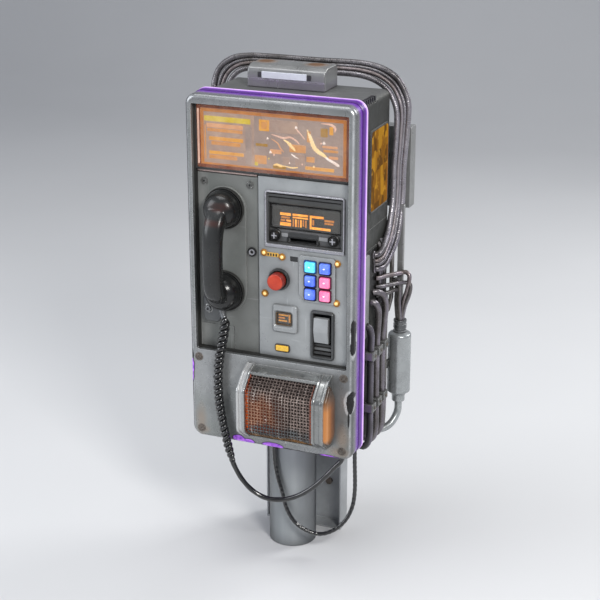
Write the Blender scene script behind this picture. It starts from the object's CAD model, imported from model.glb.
"""Wall telephone: door with handset, display, payment unit, keypad and speaker hood,
on a cabinet carried by a pole.

Shapes are written in millimetres about the door: x right, y back from the door's
front face, z up from the door's centre.  to_row() turns that into the scene's metres,
with the pole's axis at x = y = 0 and its foot on the floor.
"""
import bpy
import bmesh
import random
from math import copysign, cos, pi, radians, sin
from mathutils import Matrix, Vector
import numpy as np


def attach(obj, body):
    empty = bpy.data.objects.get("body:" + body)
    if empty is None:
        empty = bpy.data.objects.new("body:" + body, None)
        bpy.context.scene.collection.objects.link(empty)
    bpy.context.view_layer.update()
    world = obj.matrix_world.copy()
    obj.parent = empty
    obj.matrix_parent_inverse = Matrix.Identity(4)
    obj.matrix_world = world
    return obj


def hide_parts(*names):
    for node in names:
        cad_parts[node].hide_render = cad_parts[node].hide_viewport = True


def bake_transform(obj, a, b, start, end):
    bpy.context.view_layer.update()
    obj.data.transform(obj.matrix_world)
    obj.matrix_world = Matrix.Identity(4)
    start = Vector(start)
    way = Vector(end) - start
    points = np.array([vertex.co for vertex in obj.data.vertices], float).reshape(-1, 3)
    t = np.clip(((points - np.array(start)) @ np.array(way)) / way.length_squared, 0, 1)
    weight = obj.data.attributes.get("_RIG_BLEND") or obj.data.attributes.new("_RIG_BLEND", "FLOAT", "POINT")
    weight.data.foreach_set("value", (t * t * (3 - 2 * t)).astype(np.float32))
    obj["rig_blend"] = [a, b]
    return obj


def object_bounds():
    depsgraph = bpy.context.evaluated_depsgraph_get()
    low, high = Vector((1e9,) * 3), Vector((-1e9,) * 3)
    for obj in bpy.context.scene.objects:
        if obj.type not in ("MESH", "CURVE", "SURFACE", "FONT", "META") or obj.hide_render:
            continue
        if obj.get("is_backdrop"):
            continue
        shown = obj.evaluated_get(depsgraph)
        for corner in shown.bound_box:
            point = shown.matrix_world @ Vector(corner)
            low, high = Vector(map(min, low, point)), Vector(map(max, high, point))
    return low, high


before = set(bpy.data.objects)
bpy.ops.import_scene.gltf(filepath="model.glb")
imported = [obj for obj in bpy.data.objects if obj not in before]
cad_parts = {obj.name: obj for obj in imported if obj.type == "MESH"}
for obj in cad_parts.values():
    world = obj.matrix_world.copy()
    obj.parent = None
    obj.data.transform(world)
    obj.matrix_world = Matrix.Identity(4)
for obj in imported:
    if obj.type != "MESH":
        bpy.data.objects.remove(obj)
CAD_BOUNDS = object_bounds()
random.seed(7)

scene = bpy.context.scene

POLE_Y, POLE_BOTTOM = 100.0, -521.0   # pole axis and foot in door millimetres

# Places shared by several pieces: (x, z) on the door
EAR, MOUTH = (-86, 112), (-87, -32)
LOCK = (-38, 41)
CALL_BUTTON = (12, 1)
BRACKET_NUT = (-116.5, -66.5)
PANEL_LAMPS = ((-15, 44), (17, 40), (114, 40), (-14, -27), (113, -28))
KEY_COLUMNS, KEY_ROWS = (68, 94), (30, 6, -17)
PAYMENT_KNOBS = (("left", 4, 76), ("right", 106, 77))

# Cabinet: half width, half height, front and back
CAB_X, CAB_Z = 142.0, 296
CAB_FRONT, CAB_BACK = 52, 180


# ------------------------------------------------------------------ door frame to scene
def row_y(y):
    return (y - POLE_Y) / 1000.0


def row_z(z):
    return (z - POLE_BOTTOM) / 1000.0


def to_row(x, y, z):
    return Vector((x / 1000.0, row_y(y), row_z(z)))


# ------------------------------------------------------------------ curves
def spline(points, steps):
    """Centripetal Catmull-Rom through the points, with steps samples per span."""
    pts = [Vector(p) for p in points]
    out = []
    for i in range(len(pts) - 1):
        p1, p2 = pts[i], pts[i + 1]
        p0 = pts[i - 1] if i > 0 else pts[0] * 2 - pts[1]
        p3 = pts[i + 2] if i + 2 < len(pts) else pts[-1] * 2 - pts[-2]
        d0 = (p0 - p1).length_squared ** 0.25
        d1 = (p1 - p2).length_squared ** 0.25
        d2 = (p2 - p3).length_squared ** 0.25
        d1 = d1 if d1 > 1e-4 else 1.0
        d0 = d0 if d0 > 1e-4 else d1
        d2 = d2 if d2 > 1e-4 else d1
        t1 = ((p1 - p0) / d0 - (p2 - p0) / (d0 + d1) + (p2 - p1) / d1) * d1
        t2 = ((p2 - p1) / d1 - (p3 - p1) / (d1 + d2) + (p3 - p2) / d2) * d1
        square = -3 * p1 + 3 * p2 - 2 * t1 - t2
        cube = 2 * p1 - 2 * p2 + t1 + t2
        for k in range(steps):
            t = k / steps
            out.append(p1 + t1 * t + square * t * t + cube * t ** 3)
    out.append(pts[-1].copy())
    return out


def arc_lengths(points):
    lengths = [0.0]
    for a, b in zip(points, points[1:]):
        lengths.append(lengths[-1] + (b - a).length)
    return lengths


def resample(points, step):
    """Points spaced evenly along the line, as near to step as its length allows."""
    lengths = arc_lengths(points)
    count = max(2, int(round(lengths[-1] / step)))
    out, j = [], 0
    for i in range(count + 1):
        s = lengths[-1] * i / count
        while j < len(lengths) - 2 and lengths[j + 1] < s:
            j += 1
        span = lengths[j + 1] - lengths[j]
        t = (s - lengths[j]) / span if span > 1e-9 else 0
        out.append(points[j].lerp(points[j + 1], min(1, max(0, t))))
    return out


def line_frames(points, up):
    """Tangent, up and side vectors carried along without twist."""
    tangents = []
    for i in range(len(points)):
        before = points[max(0, i - 1)]
        after = points[min(len(points) - 1, i + 1)]
        tangents.append((after - before).normalized())
    first = tangents[0]
    normal = up - first * up.dot(first)
    if normal.length < 1e-3:
        normal = Vector((1, 0, 0)) - first * first.x
    normal.normalize()
    out = []
    for tangent in tangents:
        normal = normal - tangent * normal.dot(tangent)
        normal.normalize()
        out.append((tangent, normal, tangent.cross(normal)))
    return out


def rect_path(x0, x1, z0, z1, radius, seg=8):
    """Rounded rectangle as (x, z, outward x, outward z), counter-clockwise."""
    pts = []
    corners = ((x1 - radius, z0 + radius, -90), (x1 - radius, z1 - radius, 0),
               (x0 + radius, z1 - radius, 90), (x0 + radius, z0 + radius, 180))
    for cx, cz, start in corners:
        for i in range(seg + 1):
            a = radians(start + 90 * i / seg)
            pts.append((cx + radius * cos(a), cz + radius * sin(a), cos(a), sin(a)))
    return pts


def circle_path(cx, cz, radius, sides):
    pts = []
    for i in range(sides):
        c, s = cos(2 * pi * i / sides), sin(2 * pi * i / sides)
        pts.append((cx + radius * c, cz + radius * s, c, s))
    return pts


def rolled(y0, y1, radius, steps):
    """Profile of (outward, y) with a rounded front edge at y0 and a square back at y1."""
    front = []
    for i in range(steps + 1):
        a = radians(90 * i / steps)
        front.append((-radius * (1 - sin(a)), y0 + radius * (1 - cos(a))))
    return front + [(0, y1)]


# ------------------------------------------------------------------ meshes
def fix_normals(obj):
    bm = bmesh.new()
    bm.from_mesh(obj.data)
    bmesh.ops.recalc_face_normals(bm, faces=bm.faces[:])
    bm.to_mesh(obj.data)
    bm.free()


def link_mesh(name, mesh):
    obj = bpy.data.objects.new(name, mesh)
    scene.collection.objects.link(obj)
    return obj


def mesh_obj(name, verts, faces):
    """Object from vertices in door millimetres."""
    mesh = bpy.data.meshes.new(name)
    mesh.from_pydata([tuple(to_row(*v)) for v in verts], [], faces)
    mesh.update()
    obj = link_mesh(name, mesh)
    fix_normals(obj)
    return obj


def quads(rows, sides, base=0, closed=False):
    """Quads between consecutive closed rows; closed also joins the last row to the first."""
    faces = []
    for i in range(rows if closed else rows - 1):
        j = (i + 1) % rows
        for k in range(sides):
            n = (k + 1) % sides
            faces.append((base + i * sides + k, base + i * sides + n,
                          base + j * sides + n, base + j * sides + k))
    return faces


def end_faces(rows, sides, base=0):
    first = tuple(base + k for k in range(sides))
    last = tuple(base + (rows - 1) * sides + k for k in range(sides))
    return first, last


def solid(name, verts, sides):
    """Capped stack of rows lying flat, front row first."""
    rows = len(verts) // sides
    first, last = end_faces(rows, sides)
    return mesh_obj(name, verts, quads(rows, sides) + [first, last[::-1]])


def tube_solid(name, verts, sides):
    """Capped stack of rows running along a line."""
    rows = len(verts) // sides
    first, last = end_faces(rows, sides)
    return mesh_obj(name, verts, quads(rows, sides) + [first[::-1], last])


def extrusion(name, front, back):
    """Solid between two matching outlines."""
    sides = len(front)
    first, last = end_faces(2, sides)
    return mesh_obj(name, front + back, [first, last[::-1]] + quads(2, sides))


def add_tube(verts, faces, points, radius, sides, up):
    """Append a capped tube; radius is a number or f(index, count)."""
    base, count = len(verts), len(points)
    axes = line_frames(points, up)
    for i, p in enumerate(points):
        _, a, b = axes[i]
        r = radius(i, count) if callable(radius) else radius
        for k in range(sides):
            th = 2 * pi * k / sides
            verts.append(p + (a * cos(th) + b * sin(th)) * r)
    first, last = end_faces(count, sides, base)
    faces += quads(count, sides, base) + [first[::-1], last]


def sweep(name, points, radius, sides):
    verts, faces = [], []
    add_tube(verts, faces, points, radius, sides, Vector((0, 0, 1)))
    return mesh_obj(name, verts, faces)


def ring(name, path, section):
    """Closed section of (outward, y) carried round a closed path."""
    verts = [(x + nx * d, y, z + nz * d) for x, z, nx, nz in path for d, y in section]
    return mesh_obj(name, verts, quads(len(path), len(section), closed=True))


def loft(name, path, profile):
    """Capped stack of offset copies of the path; profile is (outward, y)."""
    verts = [(x + nx * d, y, z + nz * d) for d, y in profile for x, z, nx, nz in path]
    return solid(name, verts, len(path))


def rect_stack(name, x0, x1, z0, z1, radius, rows, seg=5):
    """Solid from rounded rectangles; rows are (inset, y), corners shrink with the inset."""
    verts = []
    for d, y in rows:
        corner = max(0.35, radius - d * 0.7)
        for x, z, _, _ in rect_path(x0 + d, x1 - d, z0 + d, z1 - d, corner, seg):
            verts.append((x, y, z))
    return solid(name, verts, 4 * (seg + 1))


def box(name, x0, x1, y0, y1, z0, z1, edge=0.0, seg=2):
    verts = [(x, y, z) for x in (x0, x1) for y in (y0, y1) for z in (z0, z1)]
    faces = [(0, 1, 3, 2), (4, 6, 7, 5), (0, 4, 5, 1), (2, 3, 7, 6), (0, 2, 6, 4), (1, 5, 7, 3)]
    obj = mesh_obj(name, verts, faces)
    if edge:
        bevel(obj, edge, seg)
    return obj


def prism_x(name, outline, x0, x1):
    """Outline of (y, z) extruded along x."""
    return extrusion(name, [(x0, y, z) for y, z in outline], [(x1, y, z) for y, z in outline])


def prism_y(name, outline, y0, y1):
    """Outline of (x, z) extruded along y."""
    return extrusion(name, [(x, y0, z) for x, z in outline], [(x, y1, z) for x, z in outline])


def cut_box(*limits):
    return box("cut", *limits)


def cut_hole(x, z, radius, y0, y1, sides):
    angles = [2 * pi * i / sides for i in range(sides)]
    return prism_y("cut", [(x + radius * cos(a), z + radius * sin(a)) for a in angles], y0, y1)


def cut_rect(x0, x1, z0, z1, radius, seg, y0, y1):
    return loft("cut", rect_path(x0, x1, z0, z1, radius, seg), [(0, y0), (0, y1)])


def lathe(name, profile, origin, axis="Y", sides=48, ripple=None):
    """Turned shape from (radius, position along axis).  It starts and ends on the axis;
    ripple(angle, position) scales the radius."""
    ox, oy, oz = origin
    verts, faces, rows = [], [], []
    for r, h in profile:
        if r < 1e-6:
            verts.append({"X": (ox + h, oy, oz), "Y": (ox, oy + h, oz), "Z": (ox, oy, oz + h)}[axis])
            rows.append([len(verts) - 1] * sides)
            continue
        row = []
        for i in range(sides):
            a = 2 * pi * i / sides
            rr = r * (ripple(a, h) if ripple else 1)
            if axis == "Y":
                verts.append((ox + rr * cos(a), oy + h, oz + rr * sin(a)))
            elif axis == "Z":
                verts.append((ox + rr * cos(a), oy + rr * sin(a), oz + h))
            else:
                verts.append((ox + h, oy + rr * cos(a), oz + rr * sin(a)))
            row.append(len(verts) - 1)
        rows.append(row)
    for a, b in zip(rows, rows[1:]):
        for i in range(sides):
            j = (i + 1) % sides
            face = tuple(dict.fromkeys((a[i], a[j], b[j], b[i])))
            if len(face) > 2:
                faces.append(face)
    return mesh_obj(name, verts, faces)


def move_vertices(obj, place):
    """Send each vertex through place(x, y, z), in door millimetres."""
    for v in obj.data.vertices:
        x, y, z = v.co.x * 1000, v.co.y * 1000 + POLE_Y, v.co.z * 1000 + POLE_BOTTOM
        v.co = to_row(*place(x, y, z))
    fix_normals(obj)


def drop_object(obj):
    mesh = obj.data
    bpy.data.objects.remove(obj)
    bpy.data.meshes.remove(mesh)


def bake(obj):
    """Apply all modifiers."""
    bpy.context.view_layer.update()
    graph = bpy.context.evaluated_depsgraph_get()
    mesh = bpy.data.meshes.new_from_object(
        obj.evaluated_get(graph), preserve_all_data_layers=True, depsgraph=graph)
    obj.modifiers.clear()
    old = obj.data
    obj.data = mesh
    bpy.data.meshes.remove(old)
    return obj


def modify(obj, kind, **settings):
    modifier = obj.modifiers.new(kind.lower(), kind)
    for key, value in settings.items():
        setattr(modifier, key, value)
    return bake(obj)


def bevel(obj, width, seg=2, angle=32):
    return modify(obj, "BEVEL", width=width / 1000.0, segments=seg, limit_method="ANGLE",
                  angle_limit=radians(angle), use_clamp_overlap=True, miter_outer="MITER_ARC")


def joined(name, *parts):
    """Several meshes as one object (no boolean)."""
    bm = bmesh.new()
    for part in parts:
        bm.from_mesh(part.data)
    mesh = bpy.data.meshes.new(name)
    bm.to_mesh(mesh)
    bm.free()
    for part in parts:
        drop_object(part)
    return link_mesh(name, mesh)


def clean(mesh, merge, angle):
    """Merge vertices closer than merge metres and dissolve edges flatter than angle."""
    bm = bmesh.new()
    bm.from_mesh(mesh)
    bmesh.ops.remove_doubles(bm, verts=bm.verts[:], dist=merge)
    bmesh.ops.dissolve_limit(bm, angle_limit=radians(angle), verts=bm.verts[:], edges=bm.edges[:])
    bm.to_mesh(mesh)
    bm.free()


def carve(obj, cutters):
    for cutter in cutters:
        modify(obj, "BOOLEAN", object=cutter, operation="DIFFERENCE", solver="EXACT")
        drop_object(cutter)
    clean(obj.data, merge=2e-6, angle=0.6)


def from_cad(node, name, edge, seg=2, angle=32):
    """Copy of a CAD solid, cleaned and with rounded edges."""
    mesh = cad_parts[node].data.copy()
    mesh.name = name
    obj = link_mesh(name, mesh)
    mesh.materials.clear()
    for attribute in list(mesh.attributes):
        if attribute.name in ("custom_normal", "sharp_edge", "sharp_face"):
            mesh.attributes.remove(attribute)
    clean(mesh, merge=2e-5, angle=1.0)
    return bevel(obj, edge, seg, angle)


def piece(obj, body, material, replaces=None, slot=None, angle=38, weighted=True):
    obj.data.materials.clear()
    obj.data.materials.append(MATERIALS[material])
    obj.data.shade_smooth()
    obj.data.set_sharp_from_angle(angle=radians(angle))
    if weighted:
        modify(obj, "WEIGHTED_NORMAL", keep_sharp=True, weight=90)
    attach(obj, body)
    if replaces:
        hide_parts(replaces)


def on_door(obj, material, *told, **shading):
    piece(obj, "door", material, *told, **shading)


def on_cabinet(obj, material, *told, **shading):
    piece(obj, "cabinet", material, *told, **shading)


def recolour(node, material):
    """Swap the material of a CAD solid that keeps its own mesh."""
    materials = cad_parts[node].data.materials
    materials.clear()
    materials.append(MATERIALS[material])


# ================================================================== MATERIALS
MATERIALS = {}   # by the name asked for


def srgb(text):
    """Linear colour from a hex string."""
    channels = [int(text[i:i + 2], 16) / 255 for i in (1, 3, 5)]
    return tuple(c / 12.92 if c <= 0.04045 else ((c + 0.055) / 1.055) ** 2.4 for c in channels)


class Nodes:
    """Node tree of one material.  Colours are hex strings, linear tuples or sockets."""

    def __init__(self, name):
        material = bpy.data.materials.new(name)
        MATERIALS[name] = material
        material.use_nodes = True
        self.tree = material.node_tree
        self.tree.nodes.clear()
        self.out = self.node("ShaderNodeOutputMaterial")
        self.coords = self.node("ShaderNodeTexCoord")
        self.object = self.coords.outputs["Object"]
        self.bsdf = self.node("ShaderNodeBsdfPrincipled")
        self.put(self.out.inputs[0], self.bsdf.outputs[0])

    def put(self, socket, value):
        if isinstance(value, bpy.types.NodeSocket):
            self.tree.links.new(value, socket)
            return
        if isinstance(value, str):
            value = srgb(value)
        if socket.type == "RGBA" and len(value) == 3:
            value = (*value, 1)
        socket.default_value = value

    def node(self, kind, **settings):
        node = self.tree.nodes.new(kind)
        for key, value in settings.items():
            setattr(node, key, value)
        return node

    def math(self, operation, a, b=None, clamp=False):
        node = self.node("ShaderNodeMath", operation=operation, use_clamp=clamp)
        self.put(node.inputs[0], a)
        if b is not None:
            self.put(node.inputs[1], b)
        return node.outputs[0]

    def mul(self, a, b, clamp=False):
        return self.math("MULTIPLY", a, b, clamp)

    def add(self, a, b):
        return self.math("ADD", a, b)

    def sub(self, a, b):
        return self.math("SUBTRACT", a, b)

    def maximum(self, first, *others):
        for value in others:
            first = self.math("MAXIMUM", first, value)
        return first

    def vector_math(self, operation, a, b=None, out=0):
        node = self.node("ShaderNodeVectorMath", operation=operation)
        self.put(node.inputs[0], a)
        if b is not None:
            self.put(node.inputs[1], b)
        return node.outputs[out]

    def mapping(self, scale=(1, 1, 1), loc=(0, 0, 0), rot=(0, 0, 0), source=None):
        node = self.node("ShaderNodeMapping")
        self.put(node.inputs[0], source or self.object)
        node.inputs["Scale"].default_value = scale
        node.inputs["Location"].default_value = loc
        node.inputs["Rotation"].default_value = rot
        return node.outputs[0]

    def noise(self, scale, detail=4, rough=0.55, dist=0.0, vec=None):
        node = self.node("ShaderNodeTexNoise")
        self.put(node.inputs["Vector"], vec or self.object)
        node.inputs["Scale"].default_value = scale
        node.inputs["Detail"].default_value = detail
        node.inputs["Roughness"].default_value = rough
        node.inputs["Distortion"].default_value = dist
        return node.outputs["Fac"]

    def voronoi(self, scale):
        node = self.node("ShaderNodeTexVoronoi")
        self.put(node.inputs["Vector"], self.object)
        node.inputs["Scale"].default_value = scale
        return node.outputs["Distance"]

    def remap(self, value, low, high, to_low=0.0, to_high=1.0, smooth=False):
        """Clamped map of low..high onto to_low..to_high."""
        node = self.node("ShaderNodeMapRange", clamp=True)
        if smooth:
            node.interpolation_type = "SMOOTHSTEP"
        for i, v in enumerate((value, low, high, to_low, to_high)):
            self.put(node.inputs[i], v)
        return node.outputs[0]

    def patches(self, scale, low, high, to_low=0.0, to_high=1.0, **noise):
        """Noise remapped from low..high."""
        return self.remap(self.noise(scale, **noise), low, high, to_low, to_high)

    def streaks(self, scale, stretch, tilt, low, high, loc=(0, 0, 0)):
        """Fine scratches: stretched noise, tilted by degrees, kept only at its peaks."""
        vec = self.mapping(scale=stretch, loc=loc, rot=(0, radians(tilt), 0))
        return self.patches(scale, low, high, detail=2, rough=0.5, vec=vec)

    def jitter(self, noise, amount):
        """Noise centred on zero."""
        return self.mul(self.sub(noise, 0.5), amount)

    def mix(self, fac, a, b):
        node = self.node("ShaderNodeMix", data_type="RGBA", clamp_factor=True)
        for i, v in ((0, fac), (6, a), (7, b)):
            self.put(node.inputs[i], v)
        return node.outputs[2]

    def mix_value(self, fac, a, b):
        node = self.node("ShaderNodeMix", data_type="FLOAT", clamp_factor=True)
        for i, v in ((0, fac), (2, a), (3, b)):
            self.put(node.inputs[i], v)
        return node.outputs[0]

    def ramp(self, fac, stops):
        """Colour ramp from (position, hex), first at 0 and last at 1."""
        node = self.node("ShaderNodeValToRGB")
        self.put(node.inputs[0], fac)
        elements = node.color_ramp.elements
        ends = ((elements[0], stops[0]), (elements[1], stops[-1]))
        for element, (position, color) in ends:
            element.position = position
            element.color = (*srgb(color), 1)
        for position, color in stops[1:-1]:
            elements.new(position).color = (*srgb(color), 1)
        return node.outputs[0]

    def split(self, vector):
        node = self.node("ShaderNodeSeparateXYZ")
        self.put(node.inputs[0], vector)
        return node.outputs

    def position(self):
        return self.split(self.object)

    def normal(self):
        return self.split(self.coords.outputs["Normal"])

    def door_x(self, xyz):
        return self.mul(xyz[0], 1000.0)

    def door_y(self, xyz):
        return self.add(self.mul(xyz[1], 1000.0), POLE_Y)

    def door_z(self, xyz):
        return self.sub(self.mul(xyz[2], 1000.0), -POLE_BOTTOM)

    def facing(self, blend):
        node = self.node("ShaderNodeLayerWeight")
        node.inputs[0].default_value = blend
        return node.outputs["Facing"]

    def bump(self, height, strength, dist):
        node = self.node("ShaderNodeBump")
        node.inputs["Strength"].default_value = strength
        node.inputs["Distance"].default_value = dist
        self.put(node.inputs["Height"], height)
        return node.outputs[0]

    def edge(self, radius, low, high):
        """1 on sharp corners, 0 on flats."""
        node = self.node("ShaderNodeBevel", samples=4)
        node.inputs["Radius"].default_value = radius
        geometry = self.node("ShaderNodeNewGeometry")
        dot = self.vector_math("DOT_PRODUCT", node.outputs[0], geometry.outputs["Normal"], out=1)
        return self.remap(self.sub(1.0, dot), low, high)

    def crevice(self, reach, open_at, deep_at):
        """1 in corners within reach metres, 0 in the open, from ambient occlusion."""
        node = self.node("ShaderNodeAmbientOcclusion", samples=4)
        node.inputs["Distance"].default_value = reach
        return self.remap(node.outputs["AO"], open_at, deep_at)

    def blob(self, centre, radii, wobble=0.5, scale=120, soft=0.06):
        """1 inside a ragged ellipsoid given in door millimetres."""
        vec = self.vector_math("SUBTRACT", self.object, tuple(to_row(*centre)))
        vec = self.vector_math("DIVIDE", vec, tuple(r / 1000.0 for r in radii))
        length = self.vector_math("LENGTH", vec, out=1)
        ragged = self.add(self.mul(self.noise(scale, 2, 0.5), 0.6),
                          self.mul(self.noise(scale * 4.2, 4, 0.7), 0.4))
        length = self.add(length, self.jitter(ragged, wobble * 2))
        return self.remap(length, 1.0 + soft, 1.0 - soft)

    def blobs(self, table):
        return self.maximum(*[self.blob(*entry) for entry in table])

    def finish(self, color, rough, metal=0.0, normal=None, emit=None, strength=1.0,
               coat=None, spec=None):
        inputs = self.bsdf.inputs
        self.put(inputs["Base Color"], color)
        self.put(inputs["Roughness"], rough)
        self.put(inputs["Metallic"], metal)
        if normal is not None:
            self.put(inputs["Normal"], normal)
        if emit is not None:
            self.put(inputs["Emission Color"], emit)
            self.put(inputs["Emission Strength"], strength)
        if coat is not None:
            self.put(inputs["Coat Weight"], coat)
            inputs["Coat Roughness"].default_value = 0.12
        if spec is not None:
            self.put(inputs["Specular IOR Level"], spec)


# ------------------------------------------------------------------ local wear on paint
# Ragged spots on the casting: centre, radii, wobble, noise scale
VIOLET_CHIPS = [
    ((-60, 1, -294.5), (11, 16, 6.2), 0.22, 90), ((-41, 1, -297), (10.5, 16, 4.4), 0.22, 100),
    ((-50, 1, -296.5), (7, 16, 3.6), 0.2, 90), ((4, 1, -297.4), (19, 16, 5.4), 0.26, 80),
    ((103, 1, -299.6), (13, 14, 2.8), 0.35, 90), ((120, 1, -302), (8, 14, 2.2), 0.35, 90),
    ((-146.0, 2, -172), (3.8, 16, 14), 0.40, 110), ((-146.8, 2, -190), (3.2, 14, 11), 0.45, 120)]
DARK_SPOTS = [
    ((30, 1, -300.4), (12, 14, 3.0), 0.4, 150), ((52, 1, -301.0), (16, 14, 2.6), 0.45, 150),
    ((76, 1, -301.4), (16, 14, 2.6), 0.45, 150), ((98, 1, -300.0), (13, 14, 3.0), 0.5, 150),
    ((116, 1, -300.6), (10, 14, 3.2), 0.5, 150), ((-146.4, 2, -152), (4.6, 14, 11), 0.5, 130),
    ((-147.2, 2, -216), (3.2, 14, 26), 0.55, 140), ((-146.6, 2, -182), (4.6, 14, 22), 0.5, 130)]
BARE_IRON = [
    ((146.6, 3, -66), (3.6, 12, 17), 0.62, 150), ((146.4, 3, -96), (4.2, 12, 15), 0.62, 150),
    ((147.0, 3, -82), (3.4, 10, 22), 0.5, 170), ((143, 2, -196), (5.8, 14, 17), 0.48, 130),
    ((146, 3, -182), (3.4, 14, 8), 0.55, 150), ((144, 2, -207), (3.4, 12, 9), 0.6, 160),
    ((141.5, 2, -226), (1.7, 9, 15), 0.28, 140)]
PALE_HALOS = [((142.0, 2, -196), (9.4, 16, 22), 0.25, 90), ((148, 3, -84), (6.4, 14, 34), 0.3, 120)]
# the stains have a softness as well
CORNER_STAINS = [
    ((-130, 0, -272), (8, 20, 24), 0.4, 60, 0.6), ((-126, 0, -288), (9, 20, 6), 0.4, 70, 0.6),
    ((131, 0, -262), (9, 20, 20), 0.4, 60, 0.6), ((125, 0, -288), (16, 20, 8), 0.4, 70, 0.6)]
# Violet under the casting's paint, from front to back
PRIMER_STOPS = [(0.0, "#76767c"), (0.30, "#746a80"), (0.55, "#6f4a94"), (0.80, "#60269a"),
                (1.0, "#541688")]


def casting_wear(net, color, rough, metal, height):
    """Violet primer towards the back of the flanks, chipped lower edge, bare iron on the right."""
    xyz = net.position()
    side = net.maximum(
        net.remap(net.math("ABSOLUTE", xyz[0]), 0.1405, 0.1440),
        net.remap(net.math("ABSOLUTE", net.sub(xyz[2], row_z(0))), 0.2930, 0.2970))
    depth = net.add(net.door_y(xyz), net.jitter(net.noise(120, 4, 0.6), 5.0))
    primer = net.ramp(net.remap(depth, 5.0, 31.0), PRIMER_STOPS)
    fade = net.mul(net.remap(depth, 6.0, 20.0), side)
    chips = net.blobs(VIOLET_CHIPS)
    # each chip has a slightly larger dark rim
    rims = [(centre, (rx + 1.7, ry + 2, rz + 1.3), wobble, scale)
            for centre, (rx, ry, rz), wobble, scale in VIOLET_CHIPS]
    rim = net.blobs(rims + DARK_SPOTS)
    violet = net.mix(net.patches(160, 0.38, 0.62), "#8444c4", "#c77cf6")
    iron = net.blobs(BARE_IRON)
    halo = net.blobs(PALE_HALOS)
    stain = net.blobs(CORNER_STAINS)
    # the roll of the casting is rubbed bright, its outer flanks are darker
    normal = net.normal()
    nx, nz = normal[0], normal[2]
    lean = net.math("ABSOLUTE", nx)
    roll_x = net.mul(net.remap(lean, 0.16, 0.40, smooth=True),
                     net.remap(lean, 0.78, 0.52, smooth=True))
    roll_z = net.mul(net.remap(nz, 0.20, 0.45, smooth=True), net.remap(nz, 0.80, 0.55, smooth=True))
    worn = net.patches(30, 0.34, 0.60, 0.35, 1.0, detail=5, rough=0.65)
    rubbed = net.mul(net.maximum(roll_x, net.mul(roll_z, 0.6)), worn)
    color = net.mix(net.mul(rubbed, 0.75), color, (0.80, 0.82, 0.84))
    rough = net.mix_value(net.mul(rubbed, 0.7), rough, 0.20)
    flank = net.maximum(net.mul(net.remap(nx, -0.35, -0.85), 0.72),
                        net.mul(net.remap(nz, 0.55, 0.95), 0.45),
                        net.mul(net.remap(nx, 0.55, 0.95), 0.35))
    color = net.mix(flank, color, "#434547")
    lower_right = net.mul(net.remap(xyz[2], 0.62, 0.42), net.remap(xyz[0], 0.105, 0.130))
    lower_right = net.mul(lower_right, net.patches(18, 0.30, 0.62, 0.4, 1.0, rough=0.6))
    color = net.mix(net.mul(lower_right, 0.62), color, "#5b5d5f")
    top = net.remap(xyz[2], row_z(279), row_z(301))
    color = net.mix(net.mul(top, 0.55), color, "#66686b")
    left = net.remap(xyz[0], -0.1395, -0.1455)
    color = net.mix(net.mul(left, 0.50), color, "#3c3e40")
    color = net.mix(net.mul(stain, 0.42), color, "#a48b72")
    color = net.mix(fade, color, primer)
    color = net.mix(net.mul(halo, 0.55), color, "#e2e4e6")
    color = net.mix(rim, color, "#100c14")
    color = net.mix(chips, color, violet)
    iron_color = net.mix(net.patches(420, 0.55, 0.7), "#070708", "#3a3a3f")
    color = net.mix(iron, color, iron_color)
    dark = net.maximum(rim, iron)
    rough = net.mix_value(dark, rough, 0.42)
    metal = net.mix_value(dark, metal, 0.1)
    metal = net.mix_value(fade, metal, 0.15)
    height = net.sub(height, net.mul(dark, 2.2))
    # the primer and the chips glow faintly
    glow = net.mul(net.remap(depth, 12.0, 30.0), side)
    glow = net.mul(glow, net.sub(1.0, dark))
    inputs = net.bsdf.inputs
    net.put(inputs["Emission Color"], net.mix(chips, primer, violet))
    net.put(inputs["Emission Strength"], net.add(net.mul(glow, 0.22), net.mul(chips, 0.30)))
    return color, rough, metal, height


def hood_wear(net, color, rough, metal, height):
    """Paler, less metallic left end."""
    left = net.remap(net.position()[0], -0.026, -0.034)
    color = net.mix(net.mul(left, 0.55), color, "#dcdcdc")
    return color, rough, net.mix_value(net.mul(left, 0.6), metal, 0.2), height


def cabinet_wear(net, color, rough, metal, height):
    """Paler on top, darker on the right."""
    normal = net.normal()
    color = net.mix(net.mul(net.remap(normal[2], 0.6, 0.95), 0.45), color, "#7b7c7d")
    color = net.mix(net.mul(net.remap(normal[0], 0.6, 0.95), 0.45), color, "#262725")
    return color, rough, metal, height


def cradle_wear(net, color, rough, metal, height):
    """Paler patches along the left edge."""
    left = net.mul(net.remap(net.position()[0], -0.114, -0.126),
                   net.patches(20, 0.3, 0.6, 0.5, 1.0, rough=0.6))
    return net.mix(net.mul(left, 0.5), color, "#b4b5b2"), rough, metal, height


def roof_wear(net, color, rough, metal, height):
    """Two rusty patches on top, a mauve tinge low down."""
    rust = net.mix(net.noise(160, 4), "#4c2d0a", "#654012")
    top = net.remap(net.position()[2], row_z(328.5), row_z(331))
    spots = net.blobs([((-66, 148, 333), (17, 16, 9), 0.20, 70, 0.40),
                       ((24, 148, 333), (19, 16, 9), 0.20, 70, 0.40)])
    rusty = net.mul(spots, top)
    color = net.mix(net.mul(rusty, 0.95), color, rust)
    metal = net.mix_value(rusty, metal, 0.0)
    rough = net.mix_value(rusty, rough, 0.75)
    color = net.mix(net.mul(net.sub(1.0, rusty), net.mul(top, 0.30)), color, "#6a6a66")
    low = net.remap(net.position()[2], row_z(310), row_z(309))
    color = net.mix(net.mul(low, 0.35), color, "#77707f")
    return color, rough, metal, height


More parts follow.
